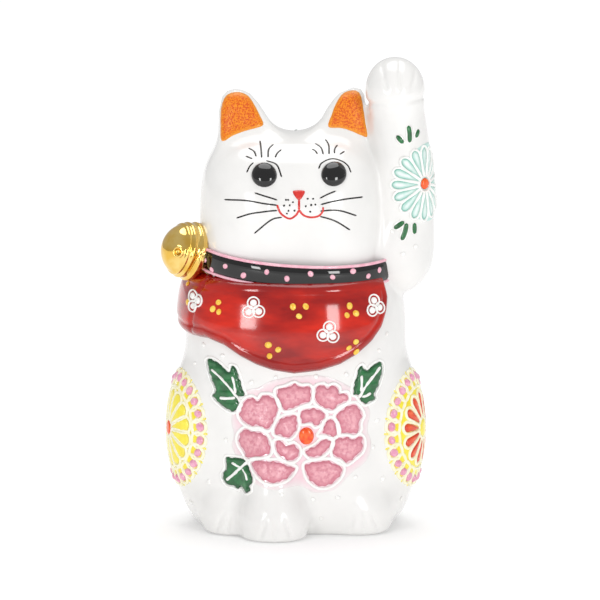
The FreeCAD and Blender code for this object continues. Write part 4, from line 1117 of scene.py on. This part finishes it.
WHITE_DOTS_FRONT = [(-29, 60.1), (-23, 57.6), (-31.8, 53.5), (-13.9, 49.8), (-6.3, 51.6), (6.3, 51.9),
    (15.8, 52.2), (26.1, 58.7), (25.5, 36.6), (-22, 30.8), (24.2, 28.2), (-27.4, 16.6), (-4.4, 15.2),
    (5.4, 12.5), (13.1, 12.9), (18.6, 19.2), (27.4, 17.7), (7.9, 6), (33.2, 9.8), (-33.2, 8.5),
    (30.2, 95.6), (33.6, 88.4), (37.6, 90.6), (28.6, 63.6)]
WHITE_DOTS_BACK = [(-22, 60), (-10, 28), (18, 30), (22, 46), (14, 60), (-20, 20), (-24, 34), (4, 24),
    (12, 100), (-14, 98), (-12, 116), (11, 117)]
build = Build()
for places, sheet in ((WHITE_DOTS_FRONT, FRONT), (WHITE_DOTS_BACK, BACK)):
    domes(build, places, sheet, 0.75, 0.5, 0.12)
build.piece("white_raised_dots", WHITE, ["white_dots"])

# ------------------------------------------------------------ floor and light

FLOOR = 4.0                 # half the width of the floor, in metres
CAMERA_DISTANCE = 2.2
CAMERA_RISE = math.radians(9.0)

floor_mesh = bpy.data.meshes.new("floor")
corners = [(-FLOOR, -FLOOR, 0), (FLOOR, -FLOOR, 0), (FLOOR, FLOOR, 0), (-FLOOR, FLOOR, 0)]
floor_mesh.from_pydata(corners, [], [(0, 1, 2, 3)])
floor = bpy.data.objects.new("floor", floor_mesh)
bpy.context.scene.collection.objects.link(floor)
floor_paint = bpy.data.materials.new("studio_floor")
floor_paint.use_nodes = True
floor_shader = floor_paint.node_tree.nodes["Principled BSDF"]
floor_shader.inputs["Base Color"].default_value = (0.85, 0.85, 0.85, 1)
floor_shader.inputs["Emission Color"].default_value = (1, 1, 1, 1)
floor_shader.inputs["Emission Strength"].default_value = 0.18
floor_shader.inputs["Roughness"].default_value = 0.9
floor_mesh.materials.append(floor_paint)

world = bpy.data.worlds.new("studio")
world.use_nodes = True
world.node_tree.nodes["Background"].inputs["Color"].default_value = (1, 1, 1, 1)
world.node_tree.nodes["Background"].inputs["Strength"].default_value = 0.54
bpy.context.scene.world = world
bpy.context.scene.view_settings.view_transform = "Standard"


def placed(name, data, place, target):
    """Puts a light or camera somewhere, looking at a target; all in metres."""
    made = bpy.data.objects.new(name, data)
    made.location = place
    made.rotation_euler = (Vector(target) - Vector(place)).to_track_quat("-Z", "Y").to_euler()
    bpy.context.scene.collection.objects.link(made)
    return made


def soft_box(name, place, target, width, height, power):
    """Rectangular studio light."""
    lamp = bpy.data.lights.new(name, "AREA")
    lamp.shape = "RECTANGLE"
    lamp.size = width
    lamp.size_y = height
    lamp.energy = power
    placed(name, lamp, place, target)


middle = (0.0, 0.0, 0.075)
soft_box("left_box", (-0.56, -0.95, 0.24), middle, 0.18, 0.32, 2.15)
soft_box("right_box", (0.56, -0.95, 0.24), middle, 0.22, 0.34, 2.55)
sky = bpy.data.lights.new("overhead", "SUN")
sky.energy = 1.55
sky.angle = math.radians(50)
sky_light = bpy.data.objects.new("overhead", sky)
sky_light.rotation_euler = (math.radians(-12), 0, 0)
bpy.context.scene.collection.objects.link(sky_light)

camera_data = bpy.data.cameras.new("camera")
camera_data.lens = 416.5
camera_data.sensor_width = 36.0
aim = Vector((0.0013, 0.0, 0.0712))
back_off = CAMERA_DISTANCE * Vector((0, -math.cos(CAMERA_RISE), math.sin(CAMERA_RISE)))
bpy.context.scene.camera = placed("camera", camera_data, aim + back_off, aim)
